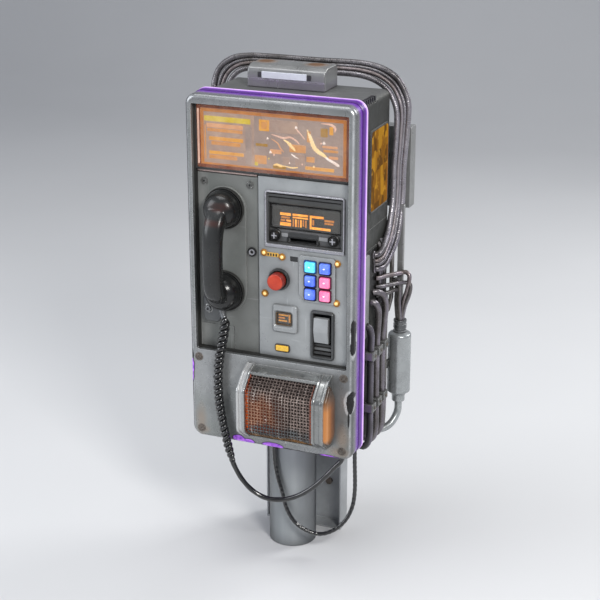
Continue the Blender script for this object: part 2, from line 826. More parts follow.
# ------------------------------------------------------------------ painted metal
def painted(name, base, variation, edge, edge_amount, rough, metal, grime, blotch, tint=None,
            scratch=0.16, rust=0.0, bump=0.30, reach=0.010, edge_radius=0.0014, wear=None):
    """Blotchy paint with scratches, grime within reach of corners and bare bright edges."""
    net = Nodes(name)
    base = srgb(base)
    darker = tuple(c * (1 - variation * 2.2) for c in base)
    lighter = tuple(min(1, c * (1 + variation * 1.4)) for c in base)
    color = net.mix(net.patches(blotch * 0.45, 0.34, 0.66, detail=5, rough=0.6, dist=0.4),
                    darker, lighter)
    if tint:
        tinted = net.patches(blotch * 0.8, 0.42, 0.66, detail=3, rough=0.5,
                             vec=net.mapping(loc=(3.1, 1.7, 0.4)))
        color = net.mix(net.mul(tinted, 0.55), color, tint)
    mottle = net.patches(blotch * 2.6, 0.50, 0.74, detail=6, rough=0.62, dist=0.3)
    color = net.mix(net.mul(mottle, 0.28), color, tuple(c * 0.55 for c in base))
    scratches = net.maximum(
        net.streaks(260, (1, 1, 0.06), 23, 0.69, 0.74),
        net.streaks(240, (0.06, 1, 1), -14, 0.70, 0.75, loc=(0.3, 0, 0.2)))
    scratches = net.mul(scratches, scratch)
    color = net.mix(scratches, color, edge)
    dirt = net.mul(net.crevice(reach, 0.92, 0.45),
                   net.patches(60, 0.25, 0.65, 0.45, 1.0, rough=0.6))
    dirt = net.mul(dirt, grime)
    color = net.mix(dirt, color, (0.05, 0.048, 0.045))
    bare = net.mul(net.edge(edge_radius, 0.02, 0.22),
                   net.patches(130, 0.30, 0.55, 0.15, 1.0, detail=5, rough=0.7))
    bare = net.mul(bare, edge_amount, clamp=True)
    color = net.mix(bare, color, edge)
    roughness = net.patches(48, 0.3, 0.7, rough - 0.10, rough + 0.14,
                            detail=5, rough=0.65, dist=0.5)
    roughness = net.mix_value(bare, roughness, 0.26)
    roughness = net.mix_value(dirt, roughness, 0.8)
    metallic = net.mix_value(bare, metal, 0.9)
    metallic = net.mix_value(dirt, metallic, 0.0)
    height = net.mul(net.noise(900, 3, 0.6), 0.25)
    height = net.add(height, net.mul(net.noise(180, 4, 0.6), 0.5))
    height = net.sub(height, net.mul(scratches, 1.2))
    if rust:
        rusty = net.mul(net.patches(26, 0.60, 0.74, detail=6, rough=0.68, dist=0.6), rust)
        color = net.mix(rusty, color, net.mix(net.noise(300, 3), "#7a4a2c", "#3c2416"))
        roughness = net.mix_value(rusty, roughness, 0.85)
        metallic = net.mix_value(rusty, metallic, 0.0)
        height = net.add(height, net.mul(rusty, 0.8))
    if wear:
        color, roughness, metallic, height = wear(net, color, roughness, metallic, height)
    net.finish(color, roughness, metallic, net.bump(height, bump, 0.0004))


# name, base, variation, bare edge, edge amount, rough, metal, grime, blotch scale, options
PAINTED = [
    ("bezel_metal", "#9fa1a2", 0.10, (0.86, 0.87, 0.88), 0.9, 0.28, 0.55, 0.85, 13,
     dict(tint="#898e89", wear=casting_wear, reach=0.016, edge_radius=0.0022, scratch=0.08,
          bump=0.14)),
    ("panel_metal", "#a8abac", 0.08, (0.80, 0.82, 0.84), 0.95, 0.34, 0.38, 0.8, 16,
     dict(tint="#95999b", scratch=0.2)),
    ("cradle_metal", "#7e807d", 0.08, (0.60, 0.61, 0.60), 0.7, 0.40, 0.30, 0.7, 14,
     dict(tint="#6c706c", reach=0.02, wear=cradle_wear)),
    ("bracket_metal", "#636566", 0.10, (0.62, 0.63, 0.64), 0.8, 0.36, 0.4, 0.7, 30, {}),
    ("trim_metal", "#a9a9b0", 0.06, (0.92, 0.92, 0.95), 1.0, 0.28, 0.55, 0.4, 30, {}),
    ("divider_metal", "#b5a09a", 0.10, (0.95, 0.84, 0.80), 1.0, 0.25, 0.7, 0.6, 30, {}),
    ("cabinet_metal", "#484946", 0.12, (0.50, 0.50, 0.49), 0.6, 0.46, 0.35, 0.85, 12,
     dict(tint="#3f423d", wear=cabinet_wear)),
    ("side_cover_metal", "#8f918f", 0.08, (0.66, 0.67, 0.66), 0.8, 0.38, 0.4, 0.7, 20, {}),
    ("steel", "#8c8e90", 0.12, (0.75, 0.76, 0.77), 0.8, 0.34, 0.85, 0.7, 30, dict(rust=0.18)),
    ("roof_metal", "#939493", 0.08, (0.85, 0.86, 0.87), 0.95, 0.34, 0.5, 0.7, 20, {}),
    ("canister_metal", "#aaaeaf", 0.08, (0.82, 0.83, 0.84), 0.9, 0.27, 0.6, 0.7, 22, {}),
    ("canister_neck", "#6c6e70", 0.12, (0.7, 0.71, 0.72), 0.8, 0.30, 0.7, 0.8, 40, {}),
    ("hood_metal", "#989a99", 0.08, (0.97, 0.97, 0.98), 1.0, 0.19, 0.85, 0.7, 24,
     dict(edge_radius=0.0022, scratch=0.3, bump=0.12, wear=hood_wear)),
    ("screw_metal", "#6b625a", 0.2, (0.62, 0.58, 0.54), 0.6, 0.5, 0.5, 0.8, 60, dict(rust=0.6)),
    ("panel_screw_metal", "#5f605e", 0.15, (0.62, 0.62, 0.60), 0.8, 0.4, 0.6, 0.8, 60, {}),
    ("clamp_metal", "#70716f", 0.12, (0.9, 0.9, 0.9), 0.95, 0.32, 0.6, 0.75, 60, {}),
    ("rail_metal", "#a3a6a8", 0.10, (0.75, 0.76, 0.77), 0.8, 0.40, 0.30, 0.35, 16,
     dict(rust=0.10)),
    ("roof_module_metal", "#858686", 0.08, (0.88, 0.89, 0.9), 0.95, 0.33, 0.45, 0.6, 20,
     dict(wear=roof_wear, edge_radius=0.002)),
]
for *columns, options in PAINTED:
    painted(*columns, **options)


def pole_material():
    """Lengthwise streaks, darker at grazing angles and on the right."""
    net = Nodes("pole_metal")
    streaks = net.noise(34, 3, 0.5, vec=net.mapping(scale=(1, 1, 0.02)))
    color = net.mix(net.remap(streaks, 0.30, 0.70), "#959a9c", "#a4a8aa")
    stains = net.patches(9, 0.52, 0.74, detail=5, rough=0.6, dist=0.5)
    color = net.mix(net.mul(stains, 0.22), color, "#7a7872")
    color = net.mix(net.mul(net.crevice(0.03, 0.9, 0.35), 0.7), color, "#2c2a28")
    color = net.mix(net.remap(net.facing(0.5), 0.22, 0.80, 0.0, 0.80), color, "#37393b")
    color = net.mix(net.remap(net.normal()[0], 0.45, 0.98, 0.0, 0.55), color, "#34363a")
    net.finish(color, net.patches(40, 0.3, 0.7, 0.34, 0.50, detail=5, rough=0.6), 0.30,
               net.bump(net.add(streaks, net.noise(400, 3)), 0.08, 0.0003))


pole_material()


def conduit_material(name, dark, light, rough, metal, braid):
    net = Nodes(name)
    color = net.mix(net.patches(14, 0.35, 0.65, rough=0.6, dist=0.4), dark, light)
    color = net.mix(net.mul(net.patches(160, 0.5, 0.72, rough=0.6), 0.5), color, "#2b2622")
    # mauve sheen on the right flank
    sheen = net.mul(net.remap(net.normal()[0], 0.30, 0.85),
                    net.patches(26, 0.40, 0.60, 0.25, 1.0, detail=3, rough=0.5))
    color = net.mix(net.mul(sheen, 0.28), color, "#b9b0c8")
    # darker above the roof, paler on the upper right
    xyz = net.position()
    color = net.mix(net.mul(net.remap(xyz[2], 0.805, 0.825), 0.28), color, "#1d1c1b")
    right = net.mul(net.remap(xyz[2], 0.815, 0.795),
                    net.mul(net.remap(xyz[2], 0.560, 0.600), net.remap(xyz[0], 0.10, 0.13)))
    color = net.mix(net.mul(right, 0.30), color, "#c2bfc4")
    color = net.mix(net.mul(net.crevice(0.006, 0.95, 0.35), 0.85), color, "#171513")
    height = net.noise(700, 3, 0.6)
    if braid:
        height = net.add(height, net.mul(net.voronoi(520), 1.2))
    net.finish(color, net.patches(60, 0.3, 0.7, rough - 0.08, rough + 0.16), metal,
               net.bump(height, 0.35, 0.0004))


# name, dark tone, light tone, rough, metal, braided
for columns in (
        ("conduit_metal", "#555251", "#918e92", 0.26, 0.7, True),
        ("conduit_brown", "#6e6560", "#93898a", 0.34, 0.65, True),
        ("conduit_side", "#524e4b", "#757173", 0.26, 0.6, False),
        ("conduit_rear", "#5f5c57", "#7c7974", 0.30, 0.6, False),
        ("conduit_dark", "#252624", "#33342f", 0.36, 0.3, True),
        ("hose_grey", "#4c4a47", "#6c6966", 0.32, 0.5, True)):
    conduit_material(*columns)


# ------------------------------------------------------------------ plastics
def handset_material():
    """Black moulding with a warm tint on the upper bend."""
    net = Nodes("black_plastic")
    normal = net.normal()
    color = net.mix(net.patches(30, 0.35, 0.65), "#242525", "#2b2c2c")
    left = net.mul(net.remap(normal[0], 0.35, -0.15), net.remap(normal[1], 0.2, -0.4))
    color = net.mix(net.mul(left, 0.35), color, "#3e3f3f")
    domes = net.remap(net.position()[1], row_y(-20), row_y(-12))
    color = net.mix(net.mul(domes, 0.6), color, "#131313")
    right = net.maximum(net.remap(normal[0], 0.35, 0.85), net.remap(normal[2], -0.35, -0.85))
    color = net.mix(net.mul(right, 0.85), color, "#0e0e0e")
    warm = net.blobs([((-92, -24, 98), (20, 22, 5), 0.25, 60, 0.5),
                      ((-82, -14, 122), (16, 18, 6), 0.3, 60, 0.5)])
    warm = net.mul(warm, net.remap(normal[2], -0.1, 0.6))
    color = net.mix(net.mul(warm, 0.55), color, "#54261a")
    scratches = net.mul(net.streaks(300, (1, 1, 0.05), 17, 0.72, 0.77), 0.12)
    color = net.mix(scratches, color, "#6e6e6e")
    worn = net.mul(net.edge(0.0012, 0.03, 0.25), net.patches(160, 0.35, 0.6, 0.2, 1.0))
    color = net.mix(net.mul(worn, 0.25), color, "#606060")
    height = net.sub(net.mul(net.noise(1200, 3, 0.6), 0.1), scratches)
    net.finish(color, net.patches(55, 0.3, 0.7, 0.20, 0.30, detail=5, rough=0.6),
               normal=net.bump(height, 0.2, 0.0003), coat=0.05, spec=0.40)


handset_material()


def plastic(name, base, rough, dust, grain, edge=None, edge_amount=0.0, scratch=0.2, coat=0.0,
            emit=None, strength=0.0):
    net = Nodes(name)
    base = srgb(base)
    color = net.mix(net.patches(30, 0.35, 0.65), tuple(c * (1 - 0.08) for c in base),
                    tuple(min(1, c * (1 + 0.08) + 0.002) for c in base))
    scratches = net.maximum(net.streaks(300, (1, 1, 0.05), 17, 0.70, 0.75),
                            net.streaks(280, (0.05, 1, 1), -22, 0.71, 0.76))
    scratches = net.mul(scratches, scratch)
    color = net.mix(scratches, color, tuple(min(1, c * 1.6 + 0.06) for c in base))
    if edge:
        worn = net.mul(net.edge(0.0010, 0.03, 0.25), net.patches(160, 0.35, 0.6, 0.2, 1.0))
        color = net.mix(net.mul(worn, edge_amount), color, edge)
    color = net.mix(net.mul(net.crevice(0.008, 0.9, 0.4), dust), color, "#4a4540")
    roughness = net.patches(55, 0.3, 0.7, rough * 0.75, rough * 1.3, detail=5, rough=0.6)
    roughness = net.add(roughness, net.mul(scratches, 0.25))
    height = net.sub(net.mul(net.noise(1200, 3, 0.6), grain), scratches)
    net.finish(color, roughness, normal=net.bump(height, 0.22, 0.0003), emit=emit,
               strength=strength, coat=coat)


# name, base, rough, dust, grain, worn edge, edge amount
for columns in (
        ("dark_plastic", "#303132", 0.34, 0.25, 0.5, "#77787a", 0.5),
        ("payment_housing", "#414243", 0.32, 0.3, 0.5, "#a5a6a8", 0.7),
        ("payment_roller", "#414241", 0.34, 0.3, 0.4, "#bcbdba", 0.6),
        ("payment_lower_plate", "#4e4f51", 0.36, 0.3, 0.5, "#a5a6a8", 0.7),
        ("deep_plastic", "#151617", 0.4, 0.2, 0.5, "#4a4b4d", 0.3),
        ("gasket_rubber", "#262624", 0.5, 0.12, 0.6),
        ("light_plastic", "#9b9ea0", 0.38, 0.5, 0.4, "#d2d4d6", 0.5),
        ("rocker_rim_plastic", "#3f4142", 0.3, 0.25, 0.4, "#8a8c8e", 0.7),
        ("rocker_step_plastic", "#5d5f60", 0.38, 0.4, 0.4, "#a0a2a4", 0.7),
        ("label_plate", "#868789", 0.45, 0.5, 0.4),
        ("pale_plate", "#c6cad2", 0.30, 0.3, 0.3, "#f0f2f6", 0.6),
        ("window_brown", "#5d4c3a", 0.35, 0.3, 0.4, "#8a7458", 0.5),
        ("led_ring", "#a8742c", 0.25, 0.2, 0.3, "#e0b060", 0.6),
        ("key_well_navy", "#131a44", 0.25, 0.1, 0.4, "#2c3c90", 0.6),
        ("key_well_blue", "#11427e", 0.25, 0.1, 0.4, "#2e74b8", 0.7),
        ("key_well_wine", "#560f2c", 0.25, 0.1, 0.4, "#98355f", 0.6)):
    plastic(*columns)
plastic("cord_rubber", "#0d0d0e", rough=0.11, dust=0.03, grain=0.3, scratch=0.05, coat=0.8)
plastic("key_glint", "#f4f7ff", rough=0.15, dust=0.0, grain=0.1, emit=(0.9, 0.94, 1.0),
        strength=0.55)


def button_material():
    """Red, deeper on the sides of the cap."""
    net = Nodes("button_red")
    color = net.mix(net.patches(40, 0.35, 0.65), "#b5351f", "#c94528")
    side = net.remap(net.position()[1], row_y(-6.4), row_y(-5.0))
    color = net.mix(net.mul(side, 0.92), color, "#7a1a10")
    color = net.mix(net.mul(net.crevice(0.008, 0.85, 0.3), 0.7), color, "#3a0c08")
    color = net.mix(net.mul(net.edge(0.001, 0.03, 0.2), 0.35), color, "#ff8a6a")
    net.finish(color, net.patches(80, 0.3, 0.7, 0.3, 0.5),
               normal=net.bump(net.noise(900, 3), 0.15, 0.0003),
               emit=color, strength=0.05, coat=0.15)


button_material()


# ------------------------------------------------------------------ lamps, keys and screens
def bead(name, centre, body, rim, spread, strength):
    """Small glassy lamp: bright centre out to spread, deep rim."""
    net = Nodes(name)
    facing = net.facing(0.5)
    noise = net.noise(420, 3, 0.6)
    facing = net.add(facing, net.jitter(noise, 0.45))
    inner = net.mix(net.remap(facing, 0.06, spread), centre, body)
    color = net.mix(net.remap(facing, spread, 0.85), inner, rim)
    net.finish(net.mix(0.3, color, rim), 0.12, normal=net.bump(noise, 0.12, 0.0003), emit=color,
               strength=net.remap(facing, 0.05, 0.8, strength, strength * 0.35), coat=0.6)


bead("led_amber", "#fbdc90", "#bd8229", "#63380e", spread=0.30, strength=0.66)
bead("lamp_amber_small", "#dcb43c", "#b5831f", "#6e430c", spread=0.5, strength=0.55)

LENS_STOPS = [(0.0, "#e08c3e"), (0.12, "#e89848"), (0.34, "#c47c3c"), (0.52, "#945c34"),
              (0.75, "#6c4830"), (1.0, "#4f3a2a")]


def hood_lens_material():
    """Amber at the front, brown towards the door and at both ends."""
    net = Nodes("hood_lens")
    xyz = net.position()
    z = net.door_z(xyz)
    depth = net.add(net.door_y(xyz), net.jitter(net.noise(40, 4, 0.6), 5.0))
    amber = net.ramp(net.remap(depth, -45.0, 0.0), LENS_STOPS)
    ends = net.maximum(net.remap(z, -200.0, -172.0), net.remap(z, -250.0, -266.0))
    color = net.mix(ends, amber, "#62503f")
    net.finish(net.mix(0.88, color, (0.02, 0.01, 0.006)), 0.26,
               normal=net.bump(net.noise(300, 2), 0.08, 0.0003), emit=color,
               strength=net.mix_value(ends, 0.56, 0.18), coat=0.3)


hood_lens_material()


def key_material(name, core, body, strength):
    net = Nodes(name)
    color = net.mix(net.patches(90, 0.38, 0.70, rough=0.6), body, core)
    edge_color = tuple(min(1, c * 1.5 + 0.1) for c in srgb(body))
    color = net.mix(net.mul(net.edge(0.0012, 0.03, 0.25), 0.35), color, edge_color)
    net.finish(net.mix(0.4, color, body), 0.16, normal=net.bump(net.noise(600, 2), 0.05, 0.0003),
               emit=color, strength=strength, coat=0.5)


key_material("key_cyan", core="#86e2fa", body="#4cc4ea", strength=0.66)
key_material("key_blue", core="#7c98f6", body="#4263dc", strength=0.55)
key_material("key_pink", core="#f592b6", body="#e05f90", strength=0.62)

STRIP_STOPS = [(0.0, "#551688"), (0.28, "#5e1c98"), (0.50, "#6c2cac"), (0.66, "#8238c4"),
               (0.74, "#c895ee"), (0.86, "#ecd0fc"), (1.0, "#a868dc")]


def edge_strip_material():
    """Purple, lit towards the back."""
    net = Nodes("edge_purple")
    depth = net.remap(net.position()[1], row_y(30), row_y(51))
    noise = net.noise(45, 4, 0.6)
    color = net.ramp(net.add(depth, net.jitter(noise, 0.10)), STRIP_STOPS)
    strength = net.remap(depth, 0.58, 0.84, 0.32, 1.10)
    strength = net.mul(strength, net.remap(noise, 0.3, 0.7, 0.75, 1.05))
    net.finish(net.mix(0.72, color, "#1c0a34"), net.remap(noise, 0.3, 0.7, 0.30, 0.45),
               normal=net.bump(net.noise(500, 3), 0.12, 0.0003), emit=color, strength=strength)


edge_strip_material()


def lit_surface(name, dark, light, strength, scale, dull, rough=0.4):
    """Glowing mottled surface; dull darkens what it reflects."""
    net = Nodes(name)
    color = net.mix(net.patches(scale, 0.35, 0.68, detail=5, rough=0.65, dist=0.4), dark, light)
    net.finish(net.mix(dull, color, (0.05, 0.04, 0.04)), rough,
               normal=net.bump(net.noise(260, 4), 0.25, 0.0006), emit=color, strength=strength)


# name, dark, light, strength, noise scale, dull, rough
for columns in (
        ("screen_back", "#9c8f8c", "#b2a29c", 0.80, 30, 0.15),
        ("screen_pane", "#a5928c", "#bda698", 0.82, 34, 0.15),
        ("screen_orange", "#cc9258", "#e0a86a", 0.86, 60, 0.15),
        ("screen_peach", "#d5a07a", "#e6b48c", 0.88, 60, 0.15),
        ("screen_amber", "#d99c48", "#ecb45c", 0.90, 60, 0.15),
        ("screen_yellow", "#ccb63c", "#e4d25a", 0.92, 60, 0.15),
        ("screen_olive", "#a8843a", "#bf9440", 0.7, 60, 0.15),
        ("screen_rim", "#6e3522", "#97512f", 0.60, 40, 0.3),
        ("screen_frame", "#bd7838", "#d8924a", 0.78, 40, 0.2),
        ("screen_pink", "#e0b8a8", "#f6d6c8", 0.90, 50, 0.15),
        ("screen_hot", "#ffd890", "#fff0c4", 1.0, 50, 0.15),
        ("screen_white", "#eedcd4", "#ffffff", 0.95, 80, 0.15),
        ("screen_grey", "#857c7a", "#988e8a", 0.78, 60, 0.15),
        ("lcd_face", "#353633", "#43443f", 0.30, 30, 0.5, 0.3),
        ("lcd_segment", "#e8882a", "#ffb74e", 1.0, 120, 0.2),
        ("lcd_dim", "#a4662c", "#cf8438", 0.85, 200, 0.3),
        ("window_segment", "#b8762c", "#d99a40", 0.8, 200, 0.3)):
    lit_surface(*columns)


def glass(name, tint, rough, veil, veil_color, extra_gloss=0.0):
    """Clear pane with a faint reflection and patches of smear, up to veil strong."""
    net = Nodes(name)
    clear = net.node("ShaderNodeBsdfTransparent")
    net.put(clear.inputs[0], tint)
    gloss = net.node("ShaderNodeBsdfGlossy")
    net.put(gloss.inputs["Roughness"], net.patches(40, 0.3, 0.7, rough, rough * 3))
    net.put(gloss.inputs["Normal"], net.bump(net.noise(14, 3), 0.10, 0.002))
    fresnel = net.node("ShaderNodeFresnel")
    fresnel.inputs[0].default_value = 1.48
    pane = net.node("ShaderNodeMixShader")
    reflect = net.math("MINIMUM", net.add(fresnel.outputs[0], extra_gloss), 0.20)
    net.put(pane.inputs[0], reflect)
    net.put(pane.inputs[1], clear.outputs[0])
    net.put(pane.inputs[2], gloss.outputs[0])
    smear = net.node("ShaderNodeBsdfDiffuse")
    net.put(smear.inputs[0], veil_color)
    both = net.node("ShaderNodeMixShader")
    smeared = net.patches(22, 0.42, 0.72, detail=5, rough=0.65, dist=0.8)
    net.put(both.inputs[0], net.mul(smeared, veil))
    net.put(both.inputs[1], pane.outputs[0])
    net.put(both.inputs[2], smear.outputs[0])
    net.put(net.out.inputs[0], both.outputs[0])
    net.tree.nodes.remove(net.bsdf)


glass("display_glass", tint=(0.84, 0.815, 0.79), rough=0.10, veil=0.10,
      veil_color=(0.85, 0.72, 0.62))
glass("lcd_glass", tint=(0.95, 0.95, 0.94), rough=0.12, veil=0.05, veil_color=(0.4, 0.4, 0.4))


def grille_material():
    """Mauve wire: tan lower left of centre, grey then gold at the bottom, rusty ends."""
    net = Nodes("mesh_copper")
    xyz = net.position()
    x, z = net.door_x(xyz), net.door_z(xyz)
    shift = net.jitter(net.noise(38, 5, 0.65), 46.0)
    x_rough, z_rough = net.add(x, shift), net.add(z, shift)
    mauve = net.mix(net.noise(240, 3), "#776861", "#b3a49c")
    tan = net.mix(net.noise(240, 3), "#8f6a56", "#cda287")
    grey = net.mix(net.noise(200, 3), "#565858", "#838687")
    gold = net.mix(net.noise(200, 3), "#6d4a24", "#a8793c")
    core = net.mul(net.remap(x_rough, 34.0, 18.0), net.remap(z_rough, -186.0, -204.0))
    color = net.mix(core, mauve, tan)
    color = net.mix(net.remap(z_rough, -238.0, -246.0), color, grey)
    color = net.mix(net.remap(z_rough, -256.0, -262.0), color, gold)
    color = net.mix(net.mul(net.remap(z_rough, -184.0, -172.0), 0.7), color, "#4e4340")
    ends = net.maximum(net.remap(x, -22.5, -25.0), net.remap(x, 88.5, 91.0))
    color = net.mix(net.mul(ends, 0.8), color, "#a4431a")
    bands = net.patches(1.0, 0.42, 0.60, detail=3, rough=0.6, vec=net.mapping(scale=(90, 1, 9)))
    color = net.mix(net.mul(bands, 0.5), color, "#231817")
    glints = net.patches(1.0, 0.60, 0.72, detail=3, rough=0.6,
                         vec=net.mapping(scale=(150, 1, 22), loc=(0.7, 0, 0.2)))
    color = net.mix(net.mul(glints, 0.75), color, "#efe4dc")
    color = net.mix(net.mul(net.crevice(0.004, 0.9, 0.3), 0.85), color, "#1c1210")
    net.finish(color, net.patches(120, 0.3, 0.7, 0.28, 0.5), 0.55,
               net.bump(net.noise(900, 3), 0.3, 0.0003), emit=color, strength=0.10)


grille_material()


def hood_glow_material():
    """Orange glow at both ends, weaker in the middle and along the bottom."""
    net = Nodes("hood_glow")
    xyz = net.position()
    x, z = net.door_x(xyz), net.door_z(xyz)
    ends = net.maximum(net.remap(x, -19.0, -23.0), net.remap(x, 86.0, 90.0))
    ends = net.mul(ends, net.remap(z, -176.0, -190.0))
    core = net.mul(net.remap(x, 52.0, 12.0), net.remap(z, -180.0, -206.0))
    low = net.mul(net.remap(z, -252.0, -264.0), 0.22)
    glow = net.maximum(ends, net.mul(core, 0.32), low)
    color = net.mix(glow, "#241814", "#c2521c")
    strength = net.mul(net.add(net.mul(glow, 0.62), 0.22), net.patches(70, 0.3, 0.7, 0.75, 1.1))
    net.finish(net.mix(0.5, color, (0.02, 0.015, 0.01)), 0.6, emit=color, strength=strength)


hood_glow_material()


def side_lamp_material():
    """Amber with slanting bands, dark and light blocks and hot patches."""
    net = Nodes("side_lamp_amber")
    xyz = net.position()
    slanted = net.mapping(rot=(radians(-40), 0, 0))
    bands = net.patches(34, 0.40, 0.56, detail=3, rough=0.5,
                        vec=net.mapping(scale=(1, 0.22, 1), source=slanted))
    color = net.mix(bands, "#7a4e08", "#91600b")
    cells = net.node("ShaderNodeTexVoronoi", distance="CHEBYCHEV")
    net.put(cells.inputs["Vector"], net.mapping(scale=(1, 1.1, 0.62)))
    cells.inputs["Scale"].default_value = 62
    cells.inputs["Randomness"].default_value = 0.8
    cell = net.split(cells.outputs["Color"])
    color = net.mix(net.mul(net.remap(cell[0], 0.62, 0.66), 0.75), color, "#4e3005")
    color = net.mix(net.mul(net.remap(cell[1], 0.74, 0.78), 0.70), color, "#c08a1c")
    hot = net.patches(60, 0.60, 0.74, rough=0.6, vec=net.mapping(loc=(2.2, 0.4, 1.1)))
    color = net.mix(net.mul(hot, 0.8), color, "#d9a238")
    back = net.remap(xyz[1], row_y(158), row_y(164))
    color = net.mix(net.mul(back, 0.7), color, "#a5641c")
    color = net.mix(net.mul(net.edge(0.0016, 0.03, 0.25), 0.45), color, "#e0a94a")
    net.finish(net.mix(0.95, color, (0.01, 0.006, 0.002)), 0.60,
               normal=net.bump(net.noise(300, 3), 0.2, 0.0004), emit=color, strength=0.92,
               spec=0.05)


side_lamp_material()


def board_material():
    net = Nodes("circuit_board")
    noise = net.noise(40, 3)
    color = net.mix(net.remap(net.voronoi(90), 0.2, 0.4), "#1d6a40", "#14502f")
    color = net.mix(net.mul(net.remap(noise, 0.4, 0.7), 0.3), color, "#0b2a18")
    net.finish(color, net.remap(noise, 0.3, 0.7, 0.3, 0.55),
               normal=net.bump(net.noise(400, 2), 0.2, 0.0004))


board_material()

# ================================================================== DOOR
# ---- casting: rounded front, recess for the panels
casting_profile = rolled(0, 30, 8.0, 8)[:-1] + [
    (0, 29.6), (-0.4, 30), (-8, 30), (-8, 50.4), (-8.6, 51)]
casting = loft("door_casting_body", rect_path(-148, 148, -302, 302, 18, 10), casting_profile)
carve(casting, [
    cut_rect(-136.6, 136.6, -138.8, 286.3, 2.5, 4, -10, 21),
    cut_box(-130, 130, 20.5, 60, -288, 280),
    cut_box(-130, 130, 8, 22, -288, -146),
    cut_hole(34, -217, 40, -5, 12, 48)])
bevel(casting, 2.4, 4, 40)
on_door(casting, "bezel_metal", "door_casting", "bezel_metal")

on_door(ring("recess_gasket", rect_path(-136.5, 136.5, -138.7, 286.2, 2.5, 4), [
    (0, 20.9), (0, 8.4), (-0.4, 7.6), (-1.2, 7.6), (-1.7, 8.6), (-1.7, 20.9)]), "gasket_rubber")
on_door(ring("edge_light_strip", rect_path(-149, 149, -303, 303, 19, 12), [
    (-8.6, 30.4), (-0.7, 30.4), (-0.2, 30.9), (0.0, 34), (0.1, 43.5), (0.5, 45.6), (1.0, 46.6),
    (1.0, 50.0), (0.5, 50.8), (-0.4, 51), (-8.6, 51)]),
    "edge_purple", "edge_light", "edge_purple", angle=50)


# ---- screws and the rings round them
def screw(name, x, z, y, radius, material, turn):
    """Domed head with a cross recess turned by degrees."""
    head = lathe(name, [
        (0, y - 1.5), (radius * 0.55, y - 1.45), (radius * 0.85, y - 1.1), (radius, y - 0.35),
        (radius, y + 1.2), (0, y + 1.2)], (x, 0, z), "Y", 28)
    half_length, half_width = radius * 0.62, radius * 0.15
    corners = ((-half_length, -half_width), (half_length, -half_width),
               (half_length, half_width), (-half_length, half_width))
    cuts = []
    for k in range(2):
        t = radians(turn) + k * pi / 2
        c, s = cos(t), sin(t)
        outline = [(x + c * u - s * v, z + s * u + c * v) for u, v in corners]
        cuts.append(prism_y("cut", outline, y - 3, y - 0.5))
    carve(head, cuts)
    bevel(head, 0.25, 1, 40)
    on_door(head, material)


for i, (x, z) in enumerate(((-132, -153), (132, -153), (-130, -286), (130, -286))):
    screw(f"casting_screw_{i + 1}", x, z, -0.2, 5.4, "screw_metal", turn=20 + 35 * i)
    on_door(ring(f"casting_screw_ring_{i + 1}", circle_path(x, z, 6.6, 40), [
        (-1.0, 0.8), (-0.9, -0.5), (0.0, -0.9), (0.8, -0.5), (1.2, 0.8)]), "screw_metal")

# ---- handset side panel
side_panel = loft("handset_side_panel", rect_path(-135.6, -26.3, -138.0, 169.4, 2, 4),
                  rolled(17.7, 20.7, 1.1, 3))
carve(side_panel, [cut_box(-133.6, -72, 10, 18.9, -139.5, -95),
                   cut_hole(*LOCK, 6.4, 10, 30, 32), cut_hole(*EAR, 5.3, 10, 30, 24)])
bevel(side_panel, 0.7, 2, 40)
on_door(side_panel, "cradle_metal", "handset_panel", "cradle_metal")
on_door(loft("handset_panel_inset", rect_path(-132.4, -73.2, -137.2, -96.2, 2, 4),
             rolled(18.1, 20.4, 0.5, 3)), "cradle_metal")
on_door(box("display_divider_bar", -134.0, -27.0, 14.4, 20.6, 171.1, 174.8, 1.1, 3),
        "divider_metal")
for i, (x, z) in enumerate(((-123, 154), (-41, 155))):
    on_door(ring(f"panel_screw_ring_{i + 1}", circle_path(x, z, 5.3, 40), [
        (-1.6, 17.9), (-1.3, 16.6), (-0.2, 16.0), (0.7, 16.3), (1.2, 17.9)]), "panel_screw_metal")
    screw(f"panel_screw_{i + 1}", x, z, 17.2, 4.2, "panel_screw_metal", turn=70 * i)
    on_door(lathe(f"panel_screw_recess_{i + 1}", [
        (0, 15.7), (1.9, 15.7), (2.3, 16.1), (2.3, 17), (0, 17)], (x, 0, z), "Y", 6),
        "deep_plastic")

pad = loft("cradle_raised_pad", rect_path(-123, -48, -69, 149, 37.4, 16),
           [(-1.8, 15.2), (-0.8, 15.3), (-0.1, 15.9), (0.3, 17.6)])
carve(pad, [cut_hole(*EAR, 29, 10, 20, 48), cut_hole(*MOUTH, 29, 10, 20, 48)])
on_door(pad, "cradle_metal", "cradle_pad", "cradle_metal")
for end, (x, z) in (("upper", EAR), ("lower", MOUTH)):
    on_door(ring(f"cradle_ring_{end}", circle_path(x, z, 33.9, 72), [
        (-0.8, 17.4), (-0.8, 11.4), (-0.4, 10.4), (0.4, 10.2), (1.0, 10.9), (1.3, 12.8),
        (1.4, 17.4)]), "gasket_rubber")

